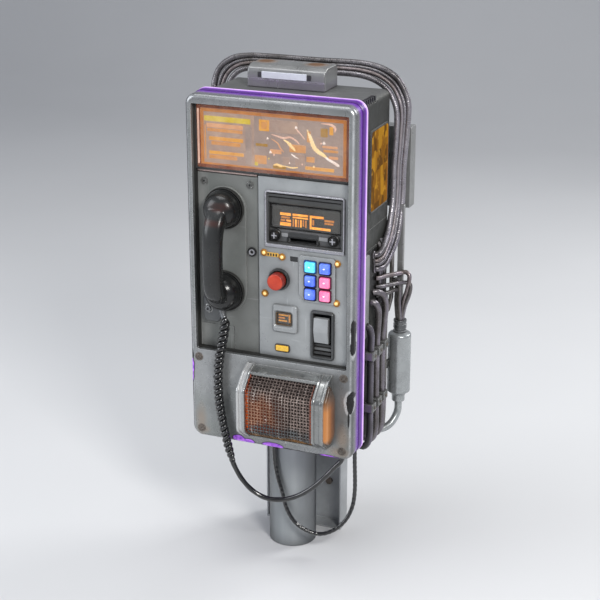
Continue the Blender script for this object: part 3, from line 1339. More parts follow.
# ---- cord bracket with its hex nut
bracket = loft("cord_bracket_block", rect_path(-127, -94, -89, -40, 9, 8),
               rolled(9.8, 17.4, 2.6, 4))
carve(bracket, [cut_hole(*MOUTH, 36.4, 0, 30, 64)])
bevel(bracket, 0.6, 2, 45)
on_door(bracket, "bracket_metal", "cord_bracket", "cradle_metal")
x, z = BRACKET_NUT
nut = lathe("bracket_nut", [(0, 6.6), (4.4, 6.6), (5.4, 7.2), (5.4, 9.9), (0, 9.9)],
            (x, 0, z), "Y", 6)
carve(nut, [cut_hole(x, z, 2.8, 5, 9, 24)])
bevel(nut, 0.4, 2, 30)
on_door(nut, "steel")
on_door(ring("bracket_nut_ring", circle_path(x, z, 6.4, 40), [
    (-0.8, 9.9), (-0.6, 9.0), (0.5, 8.9), (1.4, 9.4), (1.5, 9.9)]), "clamp_metal")

# ---- lock
x, z = LOCK
lock = lathe("lock_face", [
    (0, 16.6), (2.7, 16.6), (2.9, 15.2), (3.5, 14.6), (4.7, 14.6), (5.2, 15.2), (5.4, 17.3),
    (5.4, 32), (0, 32)], (x, 0, z), "Y", 40)
carve(lock, [cut_box(x - 0.7, x + 0.7, 12, 18, z - 2.4, z + 2.4)])
cam = box("lock_cam", x - 4, x + 4, 33, 36, 19, 43, 0.8, 2)
piece(joined("lock_barrel_face", lock, cam), "lock", "trim_metal", "lock_barrel", "steel")
core = lathe("lock_core", [(0, 15.7), (2.2, 15.7), (2.6, 16.1), (2.6, 16.9), (0, 16.9)],
             (x, 0, z), "Y", 32)
carve(core, [cut_box(x - 0.5, x + 0.5, 12, 16.4, z - 1.8, z + 1.8)])
piece(core, "lock", "deep_plastic")
on_door(ring("lock_escutcheon", circle_path(x, z, 6.7, 44), [
    (-1.1, 17.9), (-1.0, 15.4), (-0.3, 14.7), (0.7, 14.9), (1.2, 16.0), (1.3, 17.9)]),
    "deep_plastic")

# ---- control panel
control_panel = loft("control_panel_tray", rect_path(-25.4, 132.2, -138.0, 173.6, 2.5, 5),
                     rolled(14, 20.6, 1.9, 4))
cutters = [
    cut_rect(-10, 124, 61, 148.4, 2, 4, 8, 26),            # payment unit
    cut_hole(*CALL_BUTTON, 15.2, 8, 26, 40),
    cut_box(6, 34, 8, 26, -79, -55),                       # status window
    cut_box(5, 29, 8, 26, -126, -115),                     # standby lamp
    cut_rect(70.7, 107.3, -127.3, -47.7, 3, 4, 8, 26),     # volume rocker
    cut_box(31, 45, 8, 16.5, 34, 43)]                      # dark slot
cutters += [cut_hole(x, z, 4.6, 8, 26, 24) for x, z in PANEL_LAMPS]
carve(control_panel, cutters)
bevel(control_panel, 0.9, 3, 45)
on_door(control_panel, "panel_metal", "control_panel", "panel_metal")
on_door(loft("panel_dark_slot", rect_path(31.3, 44.7, 34.3, 42.7, 1, 3),
             rolled(15, 16.4, 0.5, 2)), "dark_plastic")

# ---- indicator lamps
for i, (x, z) in enumerate(PANEL_LAMPS):
    on_door(lathe(f"indicator_dome_{i + 1}", [
        (0, 8.4), (2.0, 8.7), (3.6, 9.8), (4.4, 11.4), (4.5, 14.6), (0, 14.6)],
        (x, 0, z), "Y", 28), "led_amber", angle=60)
    on_door(ring(f"indicator_ring_{i + 1}", circle_path(x, z, 5.2, 40), [
        (-0.6, 14.2), (-0.5, 12.6), (0.1, 12.2), (0.8, 12.7), (1.1, 14.2)]), "led_ring")
on_door(loft("indicator_tab", rect_path(-11, 11, 38.5, 45.5, 1.5, 3), rolled(12.9, 14, 0.5, 2)),
        "screen_olive")
TICK_PITCH = 4.8
for i in range(4):
    x = i * TICK_PITCH
    on_door(box(f"indicator_tick_{i + 1}", -8.6 + x, -6.0 + x, 12.4, 13.2, 39.8, 44.2, 0.3, 1),
            "deep_plastic")

# ---- keypad plate, wells and keys
KEYPAD_OUTLINE = [(61, -31), (108, -31), (111, -28), (111, 44), (108, 47.5), (51, 47.5),
                  (48, 44.5), (48, -19)]   # x, z
keypad = prism_y("keypad_raised_plate", KEYPAD_OUTLINE, 11.2, 14.0)
OPENING, WELL, CAP = 11.3, 9.25, 8.85      # half widths about each key's centre
carve(keypad, [cut_rect(x - OPENING, x + OPENING, z - OPENING, z + OPENING, 2.6, 4, 9, 18)
               for x in KEY_COLUMNS for z in KEY_ROWS])
bevel(keypad, 1.2, 4, 25)
on_door(keypad, "panel_metal", "keypad_frame", "panel_metal")
# well and cap colours, row by row
KEY_COLOURS = (("blue", "cyan"), ("navy", "blue"), ("navy", "blue"), ("wine", "pink"),
               ("navy", "blue"), ("wine", "pink"))
key_places = [(x, z) for z in KEY_ROWS for x in KEY_COLUMNS]
for i, ((x, z), (well, cap)) in enumerate(zip(key_places, KEY_COLOURS), 1):
    on_door(ring(f"key_well_{i}", rect_path(x - WELL, x + WELL, z - WELL, z + WELL, 1.4, 5), [
        (-0.1, 14), (-0.1, 9.6), (0.2, 9.0), (1.2, 8.8), (1.8, 9.4), (1.95, 10.4), (1.95, 14)]),
        f"key_well_{well}")
    piece(rect_stack(f"key_cap_{i}", x - CAP, x + CAP, z - CAP, z + CAP, 2.4, [
        (5.6, 5.35), (4.0, 5.25), (2.4, 5.0), (1.5, 5.2), (0.8, 5.8), (0.3, 7.2), (0.05, 8.8),
        (0, 10.7)]), f"key_{i}", f"key_{cap}", f"key_{i}", f"key_{cap}", angle=60)
    piece(lathe(f"key_glint_{i}", [(0, 4.95), (0.8, 5.0), (1.3, 5.25), (1.35, 5.6), (0, 5.6)],
                (x - 0.4, 0, z + 0.6), "Y", 20, ripple=lambda a, h: 1 + 0.25 * cos(2 * a)),
          f"key_{i}", "key_glint", angle=70)

# ---- call button
x, z = CALL_BUTTON
on_door(ring("call_button_collar", circle_path(x, z, 16.5, 56), [
    (-1.9, 13.8), (-1.9, 10.4), (-1.4, 9.2), (-0.2, 8.6), (1.1, 9.0), (1.9, 10.6), (2.3, 13.8)]),
    "dark_plastic", "button_collar", "dark_plastic")
piece(lathe("call_button_cap", [
    (0, -7.2), (9.5, -7.1), (12.6, -6.6), (13.6, -5.6), (14.0, -4.2), (14.0, 8.3), (8, 8.3),
    (8, 22), (0, 22)], (x, 0, z), "Y", 56), "call_button", "button_red", "call_button",
    "button_red", angle=45)

# ---- status window
bezel = loft("status_window_bezel", rect_path(1, 44.5, -91, -43, 5, 7), rolled(9.6, 14, 2.8, 5))
carve(bezel, [loft("cut", rect_path(6.0, 34.0, -79, -56.5, 2.2, 4), [
    (4.6, 5.0), (4.2, 9.4), (3.6, 9.9), (2.6, 11.0), (0.0, 13.2), (0, 20)])])
bevel(bezel, 0.45, 2, 35)
on_door(bezel, "panel_metal", "status_bezel", "panel_metal")
on_door(loft("status_window_back", rect_path(6.3, 33.7, -78.7, -55.4, 1, 3),
             [(0, 15.2), (0, 18)]), "lcd_face", "status_lens", "lamp_amber")
on_door(ring("status_window_wall", rect_path(6.1, 33.9, -78.9, -56.6, 1.6, 5), [
    (-0.1, 16), (-0.1, 11.6), (-0.5, 11.0), (-1.3, 11.2), (-1.6, 12.0), (-1.6, 16)]),
    "window_brown")
# x0, x1, z0, z1, material
STATUS_BARS = [
    (10, 27, -63.3, -60.7, "window_segment"), (10, 21, -68.3, -65.7, "lcd_dim"),
    (10, 25, -73.3, -70.7, "window_segment"), (28, 31, -74, -60, "window_segment")]
for i, (x0, x1, z0, z1, material) in enumerate(STATUS_BARS):
    on_door(box(f"status_bar_{i + 1}", x0, x1, 14.6, 15.5, z0, z1, 0.3, 1), material)
on_door(box("status_window_glass", 6.4, 33.6, 13.6, 14.2, -78.6, -56.6), "lcd_glass")

on_door(loft("standby_lamp_body", rect_path(5.3, 28.7, -125.7, -115.3, 2.4, 5),
             rolled(10.2, 17.8, 2.0, 4)), "lamp_amber_small", "standby_lamp", "lamp_amber",
        angle=60)
on_door(ring("standby_lamp_rim", rect_path(5, 29, -126, -115, 2.6, 5), [
    (-0.1, 14), (-0.1, 12.4), (0.5, 12.2), (1.3, 12.8), (1.6, 14)]), "dark_plastic")

# ---- volume rocker
on_door(from_cad("rocker_housing", "rocker_housing_body", 0.8), "dark_plastic", "rocker_housing",
        "dark_plastic")
on_door(ring("rocker_rim", rect_path(70.6, 107.4, -127.4, -47.6, 3.2, 5), [
    (-2.0, 13.9), (-2.0, 11.2), (-1.4, 10.2), (0.6, 10.0), (2.0, 11.0), (2.6, 12.4), (2.9, 14)]),
    "rocker_rim_plastic")
PADDLE_Z = -80
PADDLE_OUTLINE = [   # y, z about the paddle's centre
    (11.0, 21.6), (12.2, 22.0), (20.6, 22), (22.6, 14), (24, 6), (24, -6), (22.6, -14),
    (20.6, -22), (14.4, -22), (13.2, -21.6), (9.6, -3), (9.3, 0), (9.6, 3)]
paddle = prism_x("volume_rocker_paddle", [(y, z + PADDLE_Z) for y, z in PADDLE_OUTLINE],
                 73.8, 99.4)
bevel(paddle, 0.9, 3, 30)
piece(paddle, "rocker", "light_plastic", "volume_rocker", "light_plastic")
for i, material in enumerate(("dark_plastic", "rocker_step_plastic", "dark_plastic")):
    top = -104.5 - i * 6.4
    on_door(box(f"rocker_step_{i + 1}", 73.4, 104.6, 13.5 + (2 - i) * 2.0, 20.4, top - 4.6, top,
                1.0, 3), material)

# ---- payment unit
on_door(from_cad("payment_bezel", "payment_unit_tray", 1.0, 3), "payment_housing",
        "payment_bezel", "dark_plastic")
on_door(ring("payment_trim", rect_path(-10.2, 124.2, 60.8, 148.6, 2.4, 5), [
    (-0.6, 14.6), (-0.6, 12.0), (0.0, 11.2), (1.6, 11.2), (2.6, 12.2), (3.0, 14.6)]),
    "trim_metal")
on_door(box("payment_trim_sill", -12.8, 126.8, 11.0, 14.6, 55.6, 60.6, 1.5, 3), "trim_metal")
on_door(lathe("payment_roller_bar", [
    (0, 0), (4.4, 0), (5.0, 0.6), (5.0, 125.4), (4.4, 126), (0, 126)],
    (-6, 18.8, 134.2), "X", 32), "payment_roller")
lower_plate = rect_stack("payment_lower_plate_face", -5.8, 119.8, 64.8, 84.6, 1.6,
                         [(0.4, 18.9), (0.0, 19.3), (0.0, 20.6)])
carve(lower_plate, [cut_hole(x, z, 8.4, 10, 30, 40) for _, x, z in PAYMENT_KNOBS]
      + [cut_box(29, 76, 10, 30, 66, 73)])
on_door(lower_plate, "payment_lower_plate")
on_door(loft("payment_screen_face", rect_path(-4.8, 117.8, 86.8, 127.6, 2, 4),
             rolled(21, 24.6, 0.8, 3)), "lcd_face", "payment_screen", "display_amber")
on_door(ring("payment_screen_frame", rect_path(-3.2, 116.2, 88.4, 126, 2, 5), [
    (-1.4, 21.4), (-1.2, 20.4), (0.2, 20.0), (1.4, 20.6), (1.7, 21.4)]), "deep_plastic")
SEGMENT_Y = 20.7
SEGMENTS = [   # x0, x1, z0, z1, which lcd material
    (11, 30, 109.5, 114, "segment"), (13, 28, 104.5, 107.6, "dim"), (12, 20, 99.6, 102.8, "dim"),
    (22, 30, 99.6, 102.8, "segment"), (11, 30, 92, 97.6, "segment"),
    (33, 60, 110.4, 114, "segment"), (33, 60, 106.4, 108.8, "segment"),
    (33, 35.6, 92, 104.6, "dim"), (37.4, 40, 92, 104.6, "segment"),
    (41.8, 44.4, 92, 104.6, "dim"), (46.2, 48.8, 92, 104.6, "segment"),
    (50.6, 53.2, 94, 104.6, "dim"), (55, 57.6, 92, 104.6, "dim"),
    (63, 87, 110.2, 114, "segment"), (63, 66, 91, 110, "segment"),
    (66.2, 99, 91, 95.0, "segment"), (88.4, 105, 106, 109.4, "dim"),
    (88.4, 104, 101.6, 104.6, "dim"), (67.5, 70.5, 98, 107, "dim")]
for i, (x0, x1, z0, z1, kind) in enumerate(SEGMENTS):
    on_door(box(f"payment_segment_{i + 1}", x0, x1, SEGMENT_Y - 0.45, SEGMENT_Y + 0.6, z0, z1,
                0.35, 1), f"lcd_{kind}")
on_door(box("payment_screen_glass", -3.4, 116.4, 19.3, 19.9, 88.2, 126.2), "lcd_glass")


def knob_grip(angle, height):
    """24 flutes on the knob's waist."""
    return 1 + (0.02 * (1 if sin(angle * 12) > 0 else -1) if 12.5 < height < 19 else 0)


for side, x, z in PAYMENT_KNOBS:
    piece(lathe(f"payment_knob_{side}_body", [
        (0, 11.8), (4.6, 11.8), (5.2, 11.4), (6.0, 11.5), (6.5, 12.2), (6.9, 14.6), (7.6, 15.4),
        (7.6, 19.6), (0, 19.6)], (x, 0, z), "Y", 48, ripple=knob_grip),
        f"knob_{side}", "deep_plastic", f"payment_knob_{side}", "steel")
    cross = joined(f"payment_knob_{side}_cross",
                   box("part", x - 1.0, x + 1.0, 10.2, 12.4, z - 5.0, z + 5.0, 0.4, 2),
                   box("part", x - 4.6, x + 4.6, 10.6, 12.4, z - 0.9, z + 0.9, 0.4, 2))
    piece(cross, f"knob_{side}", "trim_metal")
    on_door(ring(f"payment_knob_ring_{side}", circle_path(x, z, 8.9, 40), [
        (-0.9, 20), (-0.9, 16.2), (0, 15.4), (1.0, 16.2), (1.2, 20)]), "deep_plastic")
for side, x0, x1 in (("left", 14, 26), ("right", 80, 95.5)):
    on_door(loft(f"payment_label_{side}", rect_path(x0, x1, 73.8, 80, 0.8, 3),
                 rolled(17.9, 19.4, 0.4, 2)), "label_plate")
on_door(ring("payment_slot_frame", rect_path(27, 78, 66, 73, 2, 4), [
    (-0.2, 21), (-0.2, 17.8), (0.6, 17.2), (2.6, 17.4), (3.4, 18.2), (3.6, 20.1)]),
    "deep_plastic")
on_door(loft("payment_slot_brow", rect_path(26, 79, 75.2, 82.6, 2, 4),
             rolled(17.6, 20.2, 1.2, 3)), "dark_plastic")
visor = prism_x("payment_visor_lip", [
    (14.2, 145.6), (24, 145.6), (24, 141), (17.5, 140.2), (14.8, 142.6)], -6.2, 120.2)
bevel(visor, 0.8, 2, 30)
on_door(visor, "deep_plastic")

# ---- main display
on_door(from_cad("display_panel", "display_backlight_box", 0.5), "deep_plastic",
        "display_panel", "dark_plastic")
on_door(ring("display_tray", rect_path(-136.2, 136.2, 175.2, 286.0, 2.5, 5), [
    (0, 16.9), (0, 12.6), (-0.5, 12.0), (-2.4, 12.0), (-3.2, 12.6), (-3.6, 16.9)]),
    "dark_plastic")
on_door(loft("display_back_sheet", rect_path(-132.4, 132.4, 178.6, 282.6, 1, 3),
             [(0, 16.2), (0, 16.9)]), "screen_back")


def display_tile(name, x0, x1, z0, z1, tint, y, rise):
    """Flat lit shape standing rise proud of y."""
    corner = min(1.2, abs(x1 - x0) / 2.1, abs(z1 - z0) / 2.1)
    profile = [(-0.3, y - rise), (0, y - rise + 0.3), (0, y + 0.4)]
    on_door(loft(name, rect_path(x0, x1, z0, z1, corner, 3), profile), f"screen_{tint}")


on_door(ring("display_rim_red", rect_path(-132.4, 132.4, 178.4, 282.8, 2, 5), [
    (0, 16.4), (0, 13.6), (-0.6, 13.2), (-5.2, 14.6), (-5.8, 16.4)]), "screen_rim")
on_door(ring("display_rim_orange", rect_path(-126.4, 126.4, 181.6, 276.2, 2, 5), [
    (0.6, 16.4), (0.4, 15.2), (-0.4, 14.9), (-4.6, 15.2), (-5.2, 16.4)]), "screen_frame")
display_tile("display_left_glint", -131.8, -128.6, 184, 276, "pink", y=13.9, rise=0.8)
display_tile("display_pane_left", -121, -32, 186.5, 270, "pane", y=16.2, rise=0.5)
display_tile("display_pane_right", -30.6, 120.4, 185.5, 271, "back", y=16.2, rise=0.4)
display_tile("display_bar_title", -120, -38, 256, 264.5, "yellow", y=15.6, rise=0.7)
# x0, x1, z0, z1, tint
DISPLAY_BARS = [
    (-116, -51, 245.6, 252.4, "peach"), (-115, -52, 239, 244.4, "orange"),
    (-112, -51, 224.4, 230.6, "amber"), (-108, -56, 217, 223.2, "orange"),
    (-112, -50, 201.4, 207, "amber"), (-112, -62, 194, 200.2, "orange"),
    (-47, -36, 190, 252, "back"), (-119.4, -117.4, 192, 250, "orange")]
DISPLAY_MAP = [
    (-23, -5, 247.5, 266, "amber"), (-19, -9, 251, 262.5, "orange"),
    (-31, -10, 193, 207, "orange"), (-31, -25, 189.5, 196, "yellow"),
    (83, 95, 246.5, 260.5, "olive"), (98, 104.5, 251, 264, "amber"),
    (57, 106.5, 191, 196.6, "amber"), (30, 58, 217.5, 230, "orange"),
    (59, 73, 203.6, 212.4, "orange"), (86, 112, 229, 233, "peach"),
    (88, 113, 222.6, 226.6, "orange"), (97, 113, 212, 216.4, "peach"),
    (-29, -8, 222, 226.6, "olive"), (1, 24, 187.6, 192.6, "olive"),
    (-4, 16, 212, 219, "peach"), (60, 66, 236, 254, "orange"), (108, 117, 240, 266, "back"),
    (-4, 44, 247, 267, "pane"), (40, 56, 195, 214, "pane"), (76, 84, 228, 245, "pane"),
    (18, 30, 196, 208, "pane")]
for i, tile in enumerate(DISPLAY_BARS):
    display_tile(f"display_bar_{i + 1}", *tile, y=15.7, rise=0.5)
for i, tile in enumerate(DISPLAY_MAP):
    display_tile(f"display_map_{i + 1}", *tile, y=15.8 - 0.12 * (i % 4), rise=0.5)


def streak(name, stations, tint):
    """Molten-looking ridge domed across; stations are (x, z, half width)."""
    centres = spline([(x, 14.6, z) for x, z, _ in stations], 10)
    widths = spline([(w, 0, 0) for _, _, w in stations], 10)
    verts = []
    across = 8
    for i, p in enumerate(centres):
        before, after = centres[max(0, i - 1)], centres[min(len(centres) - 1, i + 1)]
        d = (after - before).normalized()
        nx, nz = -d.z, d.x
        w = max(0.25, widths[i].x) * (1 + 0.18 * sin(i * 1.7) + 0.1 * sin(i * 3.9))
        for k in range(across):
            th = pi * k / (across - 1)
            verts.append((p.x + nx * w * cos(th), p.y + 1.6 - sin(th) * min(2.0, w * 0.5 + 0.5),
                          p.z + nz * w * cos(th)))
    on_door(tube_solid(name, verts, across), f"screen_{tint}", angle=70, weighted=False)


# name, tint, (x, z, half width) along the ridge
STREAKS = [
    ("main", "hot", [(60, 256, 0.8), (63, 250, 2.4), (67, 240, 3.4), (72, 229, 3.8),
                     (79, 222, 3.6), (87, 218, 3.0), (93, 214, 1.6)]),
    ("tail", "white", [(88, 217, 1.0), (95, 212, 2.0), (103, 208, 2.2), (110, 204.5, 2.4),
                       (114, 202, 1.0)]),
    ("blob", "hot", [(20, 236, 1.0), (26, 233, 2.0), (33, 227, 3.2), (39, 221.5, 2.4),
                     (42, 218, 0.8)]),
    ("arc", "pink", [(-1, 243, 0.6), (9, 241, 1.4), (20, 239, 1.8), (31, 241, 1.6),
                     (42, 236, 1.4), (47, 231, 0.6)]),
    ("low", "white", [(33, 214, 0.8), (38, 211, 1.6), (44, 208.5, 1.6), (50, 205.5, 0.8)]),
    ("top", "pink", [(84, 268, 0.6), (93, 268, 1.2), (102, 267, 2.0), (108, 262, 2.2),
                     (107, 256, 1.0)]),
    ("bottom", "hot", [(2, 193, 0.8), (8, 194.5, 1.8), (14, 192.5, 2.2), (22, 193, 0.8),
                       (34, 191.5, 1.2), (44, 193, 1.0)]),
    ("curl", "pink", [(38, 260, 0.8), (41, 257, 1.6), (44, 253, 1.4), (50, 247, 1.0),
                      (56, 240, 0.8)]),
    ("left", "peach", [(-2, 236, 0.5), (4, 233, 1.0), (10, 229, 1.2), (14, 222, 1.2),
                       (20, 216, 0.8)])]
for name, tint, stations in STREAKS:
    streak(f"display_streak_{name}", stations, tint)
# x, z, radius, tint
GLINTS = [
    (89, 237, 2.4, "white"), (84, 236, 1.4, "pink"), (41.5, 258, 2.2, "white"),
    (-8, 236, 1.8, "white"), (-3, 214, 2.2, "white"), (113, 203, 2.2, "white"),
    (3, 210, 1.6, "pink"), (72, 197, 1.6, "hot"), (-6, 203, 1.2, "yellow"),
    (52, 199, 1.4, "pink"), (30, 199, 1.2, "white")]
for i, (x, z, r, tint) in enumerate(GLINTS):
    on_door(lathe(f"display_glint_{i + 1}", [
        (0, 14.2), (r * 0.6, 14.4), (r, 15.2), (r * 0.9, 16), (0, 16.1)], (x, 0, z), "Y", 16,
        ripple=lambda a, h: 1 + 0.22 * sin(3 * a + h)), f"screen_{tint}", angle=70)
on_door(box("display_glass", -132.6, 132.6, 11.9, 12.5, 178.2, 283.0, 0.2, 1), "display_glass",
        "display_lens", "display_amber")

# ---- speaker hood: y, z from its top edge at the door, round the front, to its bottom edge
HOOD_PROFILE = [(-0.3, -150), (-20, -158), (-47, -183), (-47, -256), (-24, -273), (-0.3, -275)]


def offset_profile(points, distance):
    """Open profile moved outwards (away from the door); its ends keep their y."""
    def side_normal(a, b):
        t = Vector((b[0] - a[0], b[1] - a[1])).normalized()
        return Vector((t.y, -t.x))

    out = []
    for i, (y, z) in enumerate(points):
        normals = []
        if i > 0:
            normals.append(side_normal(points[i - 1], points[i]))
        if i < len(points) - 1:
            normals.append(side_normal(points[i], points[i + 1]))
        n = sum(normals, Vector((0, 0))) / len(normals)
        n.normalize()
        move = n * (distance / max(0.5, n.dot(normals[0])))
        out.append((y + move.x, z + move.y))
    out[0] = (points[0][0], out[0][1])
    out[-1] = (points[-1][0], out[-1][1])
    return out


def round_corners(points, radius, steps=4):
    out = [points[0]]
    for a, b, c in zip(points, points[1:], points[2:]):
        a, b, c = Vector(a), Vector(b), Vector(c)
        u, v = (a - b).normalized(), (c - b).normalized()
        r = min(radius, (a - b).length * 0.45, (c - b).length * 0.45)
        p0, p1 = b + u * r, b + v * r
        for i in range(steps + 1):
            t = i / steps
            q = p0 * (1 - t) ** 2 + b * 2 * t * (1 - t) + p1 * t * t
            out.append((q.x, q.y))
    out.append(points[-1])
    return out


hood = prism_x("speaker_hood_frame", round_corners(HOOD_PROFILE, 6), -41.5, 112.5)
hollow = offset_profile(HOOD_PROFILE, -3.6)
hollow[0] = (4, hollow[0][1])
hollow[-1] = (4, hollow[-1][1])
carve(hood, [prism_x("cut", hollow, -37.6, 108.6), cut_box(-27, 93, -70, -19, -300, -140)])
bevel(hood, 1.6, 3, 35)
on_door(hood, "hood_metal", "hood_frame", "hood_metal")
HOOD_RIBS = ((-42.0, -37.4), (-32.2, -27.0), (93.0, 98.2), (107.4, 112.9))   # x0, x1
for i, (x0, x1) in enumerate(HOOD_RIBS):
    outside = round_corners(offset_profile(HOOD_PROFILE, 2.0), 7)
    inside = round_corners(offset_profile(HOOD_PROFILE, -1.6), 5)
    rib = prism_x(f"hood_rib_{i + 1}", outside + inside[::-1], x0, x1)
    bevel(rib, 1.4, 3, 35)
    on_door(rib, "hood_metal")
on_door(box("hood_lip_top", -27.6, 93.6, -21.6, -17.8, -162.4, -156.6, 1.2, 3), "hood_metal")
on_door(box("hood_lip_bottom", -27.6, 93.6, -25.6, -19.6, -276.0, -271.0, 1.2, 3), "hood_metal")

# glowing panel behind the grille: rounded front outline, then back along its inner face
GLOW_FRONT = [(-12.0, -166.0), (-40.0, -188.0), (-40.0, -253.0), (-20.5, -267.0)]
GLOW_BACK = [(-17.6, -264.4), (-37.4, -251.4), (-37.4, -189.4), (-10.6, -168.6)]
on_door(prism_x("hood_glow_panel", round_corners(GLOW_FRONT, 6) + GLOW_BACK, -26.8, 92.8),
        "hood_glow")

# ---- woven wire grille following the hood's front
GRILLE_PROFILE = [(-19.5, -161.3), (-44.8, -184.2), (-44.8, -255.0), (-23.8, -270.0)]   # y, z
GRILLE_LEFT, GRILLE_RIGHT, FIRST_WIRE = -26.4, 92.4, -26.2   # x
WIRE_PITCH, WIRE_RADIUS, WIRE_STEP, WEAVE = 5.5, 1.12, 1.15, 0.74
grille_curve = [Vector((0, y, z)) for y, z in round_corners(GRILLE_PROFILE, 7, 6)]
grille_length = arc_lengths(grille_curve)[-1]
grille_line = resample(grille_curve, WIRE_STEP)
last = len(grille_line) - 1
grille_verts, grille_faces = [], []


def add_wire(points):
    add_tube(grille_verts, grille_faces, points, WIRE_RADIUS, 6, Vector((1, 0, 0.01)))


def grille_normal(i):
    t = (grille_line[min(last, i + 1)] - grille_line[max(0, i - 1)]).normalized()
    return Vector((0, t.z, -t.y))


# wires over the front, then wires across, each weaving in and out
for j in range(int((GRILLE_RIGHT - GRILLE_LEFT) / WIRE_PITCH) + 1):
    x = FIRST_WIRE + j * WIRE_PITCH
    wire = []
    for i, p in enumerate(grille_line):
        s = grille_length * i / last
        q = p + grille_normal(i) * (WEAVE * cos(pi * s / WIRE_PITCH + pi * j))
        wire.append(Vector((x + 0.25 * sin(s * 0.35 + j), q.y, q.z)))
    add_wire(wire)
for j in range(int(grille_length / WIRE_PITCH) + 1):
    i = min(last, int(round(j * WIRE_PITCH / grille_length * last)))
    normal = grille_normal(i)
    wire = []
    for k in range(int((GRILLE_RIGHT - GRILLE_LEFT) / WIRE_STEP) + 1):
        x = GRILLE_LEFT + k * WIRE_STEP
        off = WEAVE * cos(pi * (x - FIRST_WIRE) / WIRE_PITCH + pi * j + pi)
        wire.append(grille_line[i] + normal * off + Vector((x, 0, 0.2 * sin(x * 0.3 + j))))
    add_wire(wire)
on_door(mesh_obj("hood_wire_grille", grille_verts, grille_faces), "mesh_copper", "hood_mesh",
        "mesh_copper", angle=80, weighted=False)

# ---- amber lens on the hood's right end, shrinking outwards
LENS_OUTLINE = [(-0.6, -188), (-21.5, -158.6), (-43.6, -184), (-43.6, -254), (-22, -268.6),
                (-0.6, -258)]   # y, z
LENS_ROWS = ((1.0, 112.6), (1.0, 114.8), (0.965, 116.8), (0.90, 118.0), (0.80, 118.8),
             (0.6, 119.2))      # scale, x
LENS_CENTRE = (-21.5, -216.0)   # y, z
lens_outline = round_corners(LENS_OUTLINE + [LENS_OUTLINE[0]], 6, 5)[1:]
cy, cz = LENS_CENTRE
lens_verts = [(x, cy + (y - cy) * scale, cz + (z - cz) * (1 - (1 - scale) * 0.45))
              for scale, x in LENS_ROWS for y, z in lens_outline]
on_door(solid("hood_side_lens_body", lens_verts, len(lens_outline)), "hood_lens",
        "hood_side_lens", "lamp_amber", angle=60)
CHEEK_OUTLINE = ((-0.2, -179), (-22.2, -156.4), (-46, -181.5), (-46, -256.4), (-23, -272),
                 (-0.2, -265))
cheek = prism_x("hood_side_cheek", [(y * 0.99 - 0.2, z) for y, z in CHEEK_OUTLINE], 110.4, 113.3)
bevel(cheek, 0.8, 2, 30)
on_door(cheek, "hood_metal")

on_door(from_cad("loudspeaker", "loudspeaker_cone", 0.8, 2, 20), "deep_plastic", "loudspeaker",
        "dark_plastic")

# ---- rear side of the door
on_door(from_cad("hinge_leaf_door", "hinge_leaf_door_plate", 0.5), "steel", "hinge_leaf_door",
        "steel")
on_door(from_cad("coin_validator", "coin_validator_case", 0.9), "steel", "coin_validator",
        "steel")
recolour("control_board", "circuit_board")

# ================================================================== HANDSET CORD
CORD_LINE = [
    (-78.2, -7.8, -74.0), (-77.6, -9.0, -84), (-80.4, -11.4, -106), (-86.6, -13.5, -140),
    (-90, -14, -178), (-89, -14, -222), (-82, -14, -268), (-73.5, -14, -306), (-65, -13, -337)]
HOSE_LINE = [
    (-66.6, -13.2, -331), (-65, -13, -337), (-51, -11, -364), (-32, -8, -385), (-8, -3, -398),
    (18, 1, -398), (45, 5, -388.6), (73, 9, -368.7), (95.6, 13, -345.3), (112, 17, -325),
    (121.8, 20, -313.4), (126, 20.5, -300.6)]


def cord_stations():
    """Centre, side vectors, winding radius and turn along the twisted part of the cord."""
    curve = spline(CORD_LINE, 24)
    length = arc_lengths(curve)[-1]
    centres = resample(curve, 0.9)
    spans = len(centres) - 1
    turn = 0.0
    out = []
    for i, (p, (_, a, b)) in enumerate(zip(centres, line_frames(centres, Vector((1, 0, 0))))):
        s = length * i / spans
        ramp_in = min(1.0, max(0.0, (s - 1) / 9.0))
        ramp_out = min(1.0, max(0.0, (length - s) / 22.0))
        low = min(1.0, s / length)
        radius = ((4.8 - 0.8 * low) * (0.35 + 0.65 * ramp_in) * (0.15 + 0.85 * ramp_out)
                  * (1 + 0.05 * sin(s * 0.9) + 0.04 * sin(s * 0.31)))
        turn += 2 * pi * (length / spans) / (20.0 - 1.0 * low)
        out.append((p, a, b, radius, turn))
    return out


def strand(stations, phase):
    points = [p + (a * cos(turn + phase) + b * sin(turn + phase)) * radius
              for p, a, b, radius, turn in stations]
    return resample(points, 1.15)


# two strands wound round each other, then a plain hose up to the cabinet
CORD_UP = Vector((0.3, 1, 0.2))
stations = cord_stations()
cord_verts, cord_faces = [], []
add_tube(cord_verts, cord_faces, strand(stations, 0.0), lambda i, n: 4.25 - 0.45 * i / n, 14,
         CORD_UP)
add_tube(cord_verts, cord_faces, strand(stations, pi), lambda i, n: 4.15 - 0.45 * i / n, 14,
         CORD_UP)
add_tube(cord_verts, cord_faces, resample(spline(HOSE_LINE, 24), 3.0),
         lambda i, n: 4.3 + 0.15 * sin(i * 0.7), 16, CORD_UP)
cord = mesh_obj("handset_cord_coil", cord_verts, cord_faces)
cord.data.materials.append(MATERIALS["cord_rubber"])

# ================================================================== HANDSET
GRIP_LINE = [
    (-86, 8, 108), (-86, -8, 110), (-86.2, -19, 101), (-86.4, -26.5, 88), (-86.6, -31, 70),
    (-86.8, -32.5, 45), (-87, -32, 15), (-87, -30.5, -8), (-87, -24.5, -24), (-87, -12, -33),
    (-87, 4, -33)]


def superellipse(angle, a, b, power):
    c, s = cos(angle), sin(angle)
    return (a * copysign(abs(c) ** (2 / power), c), b * copysign(abs(s) ** (2 / power), s))


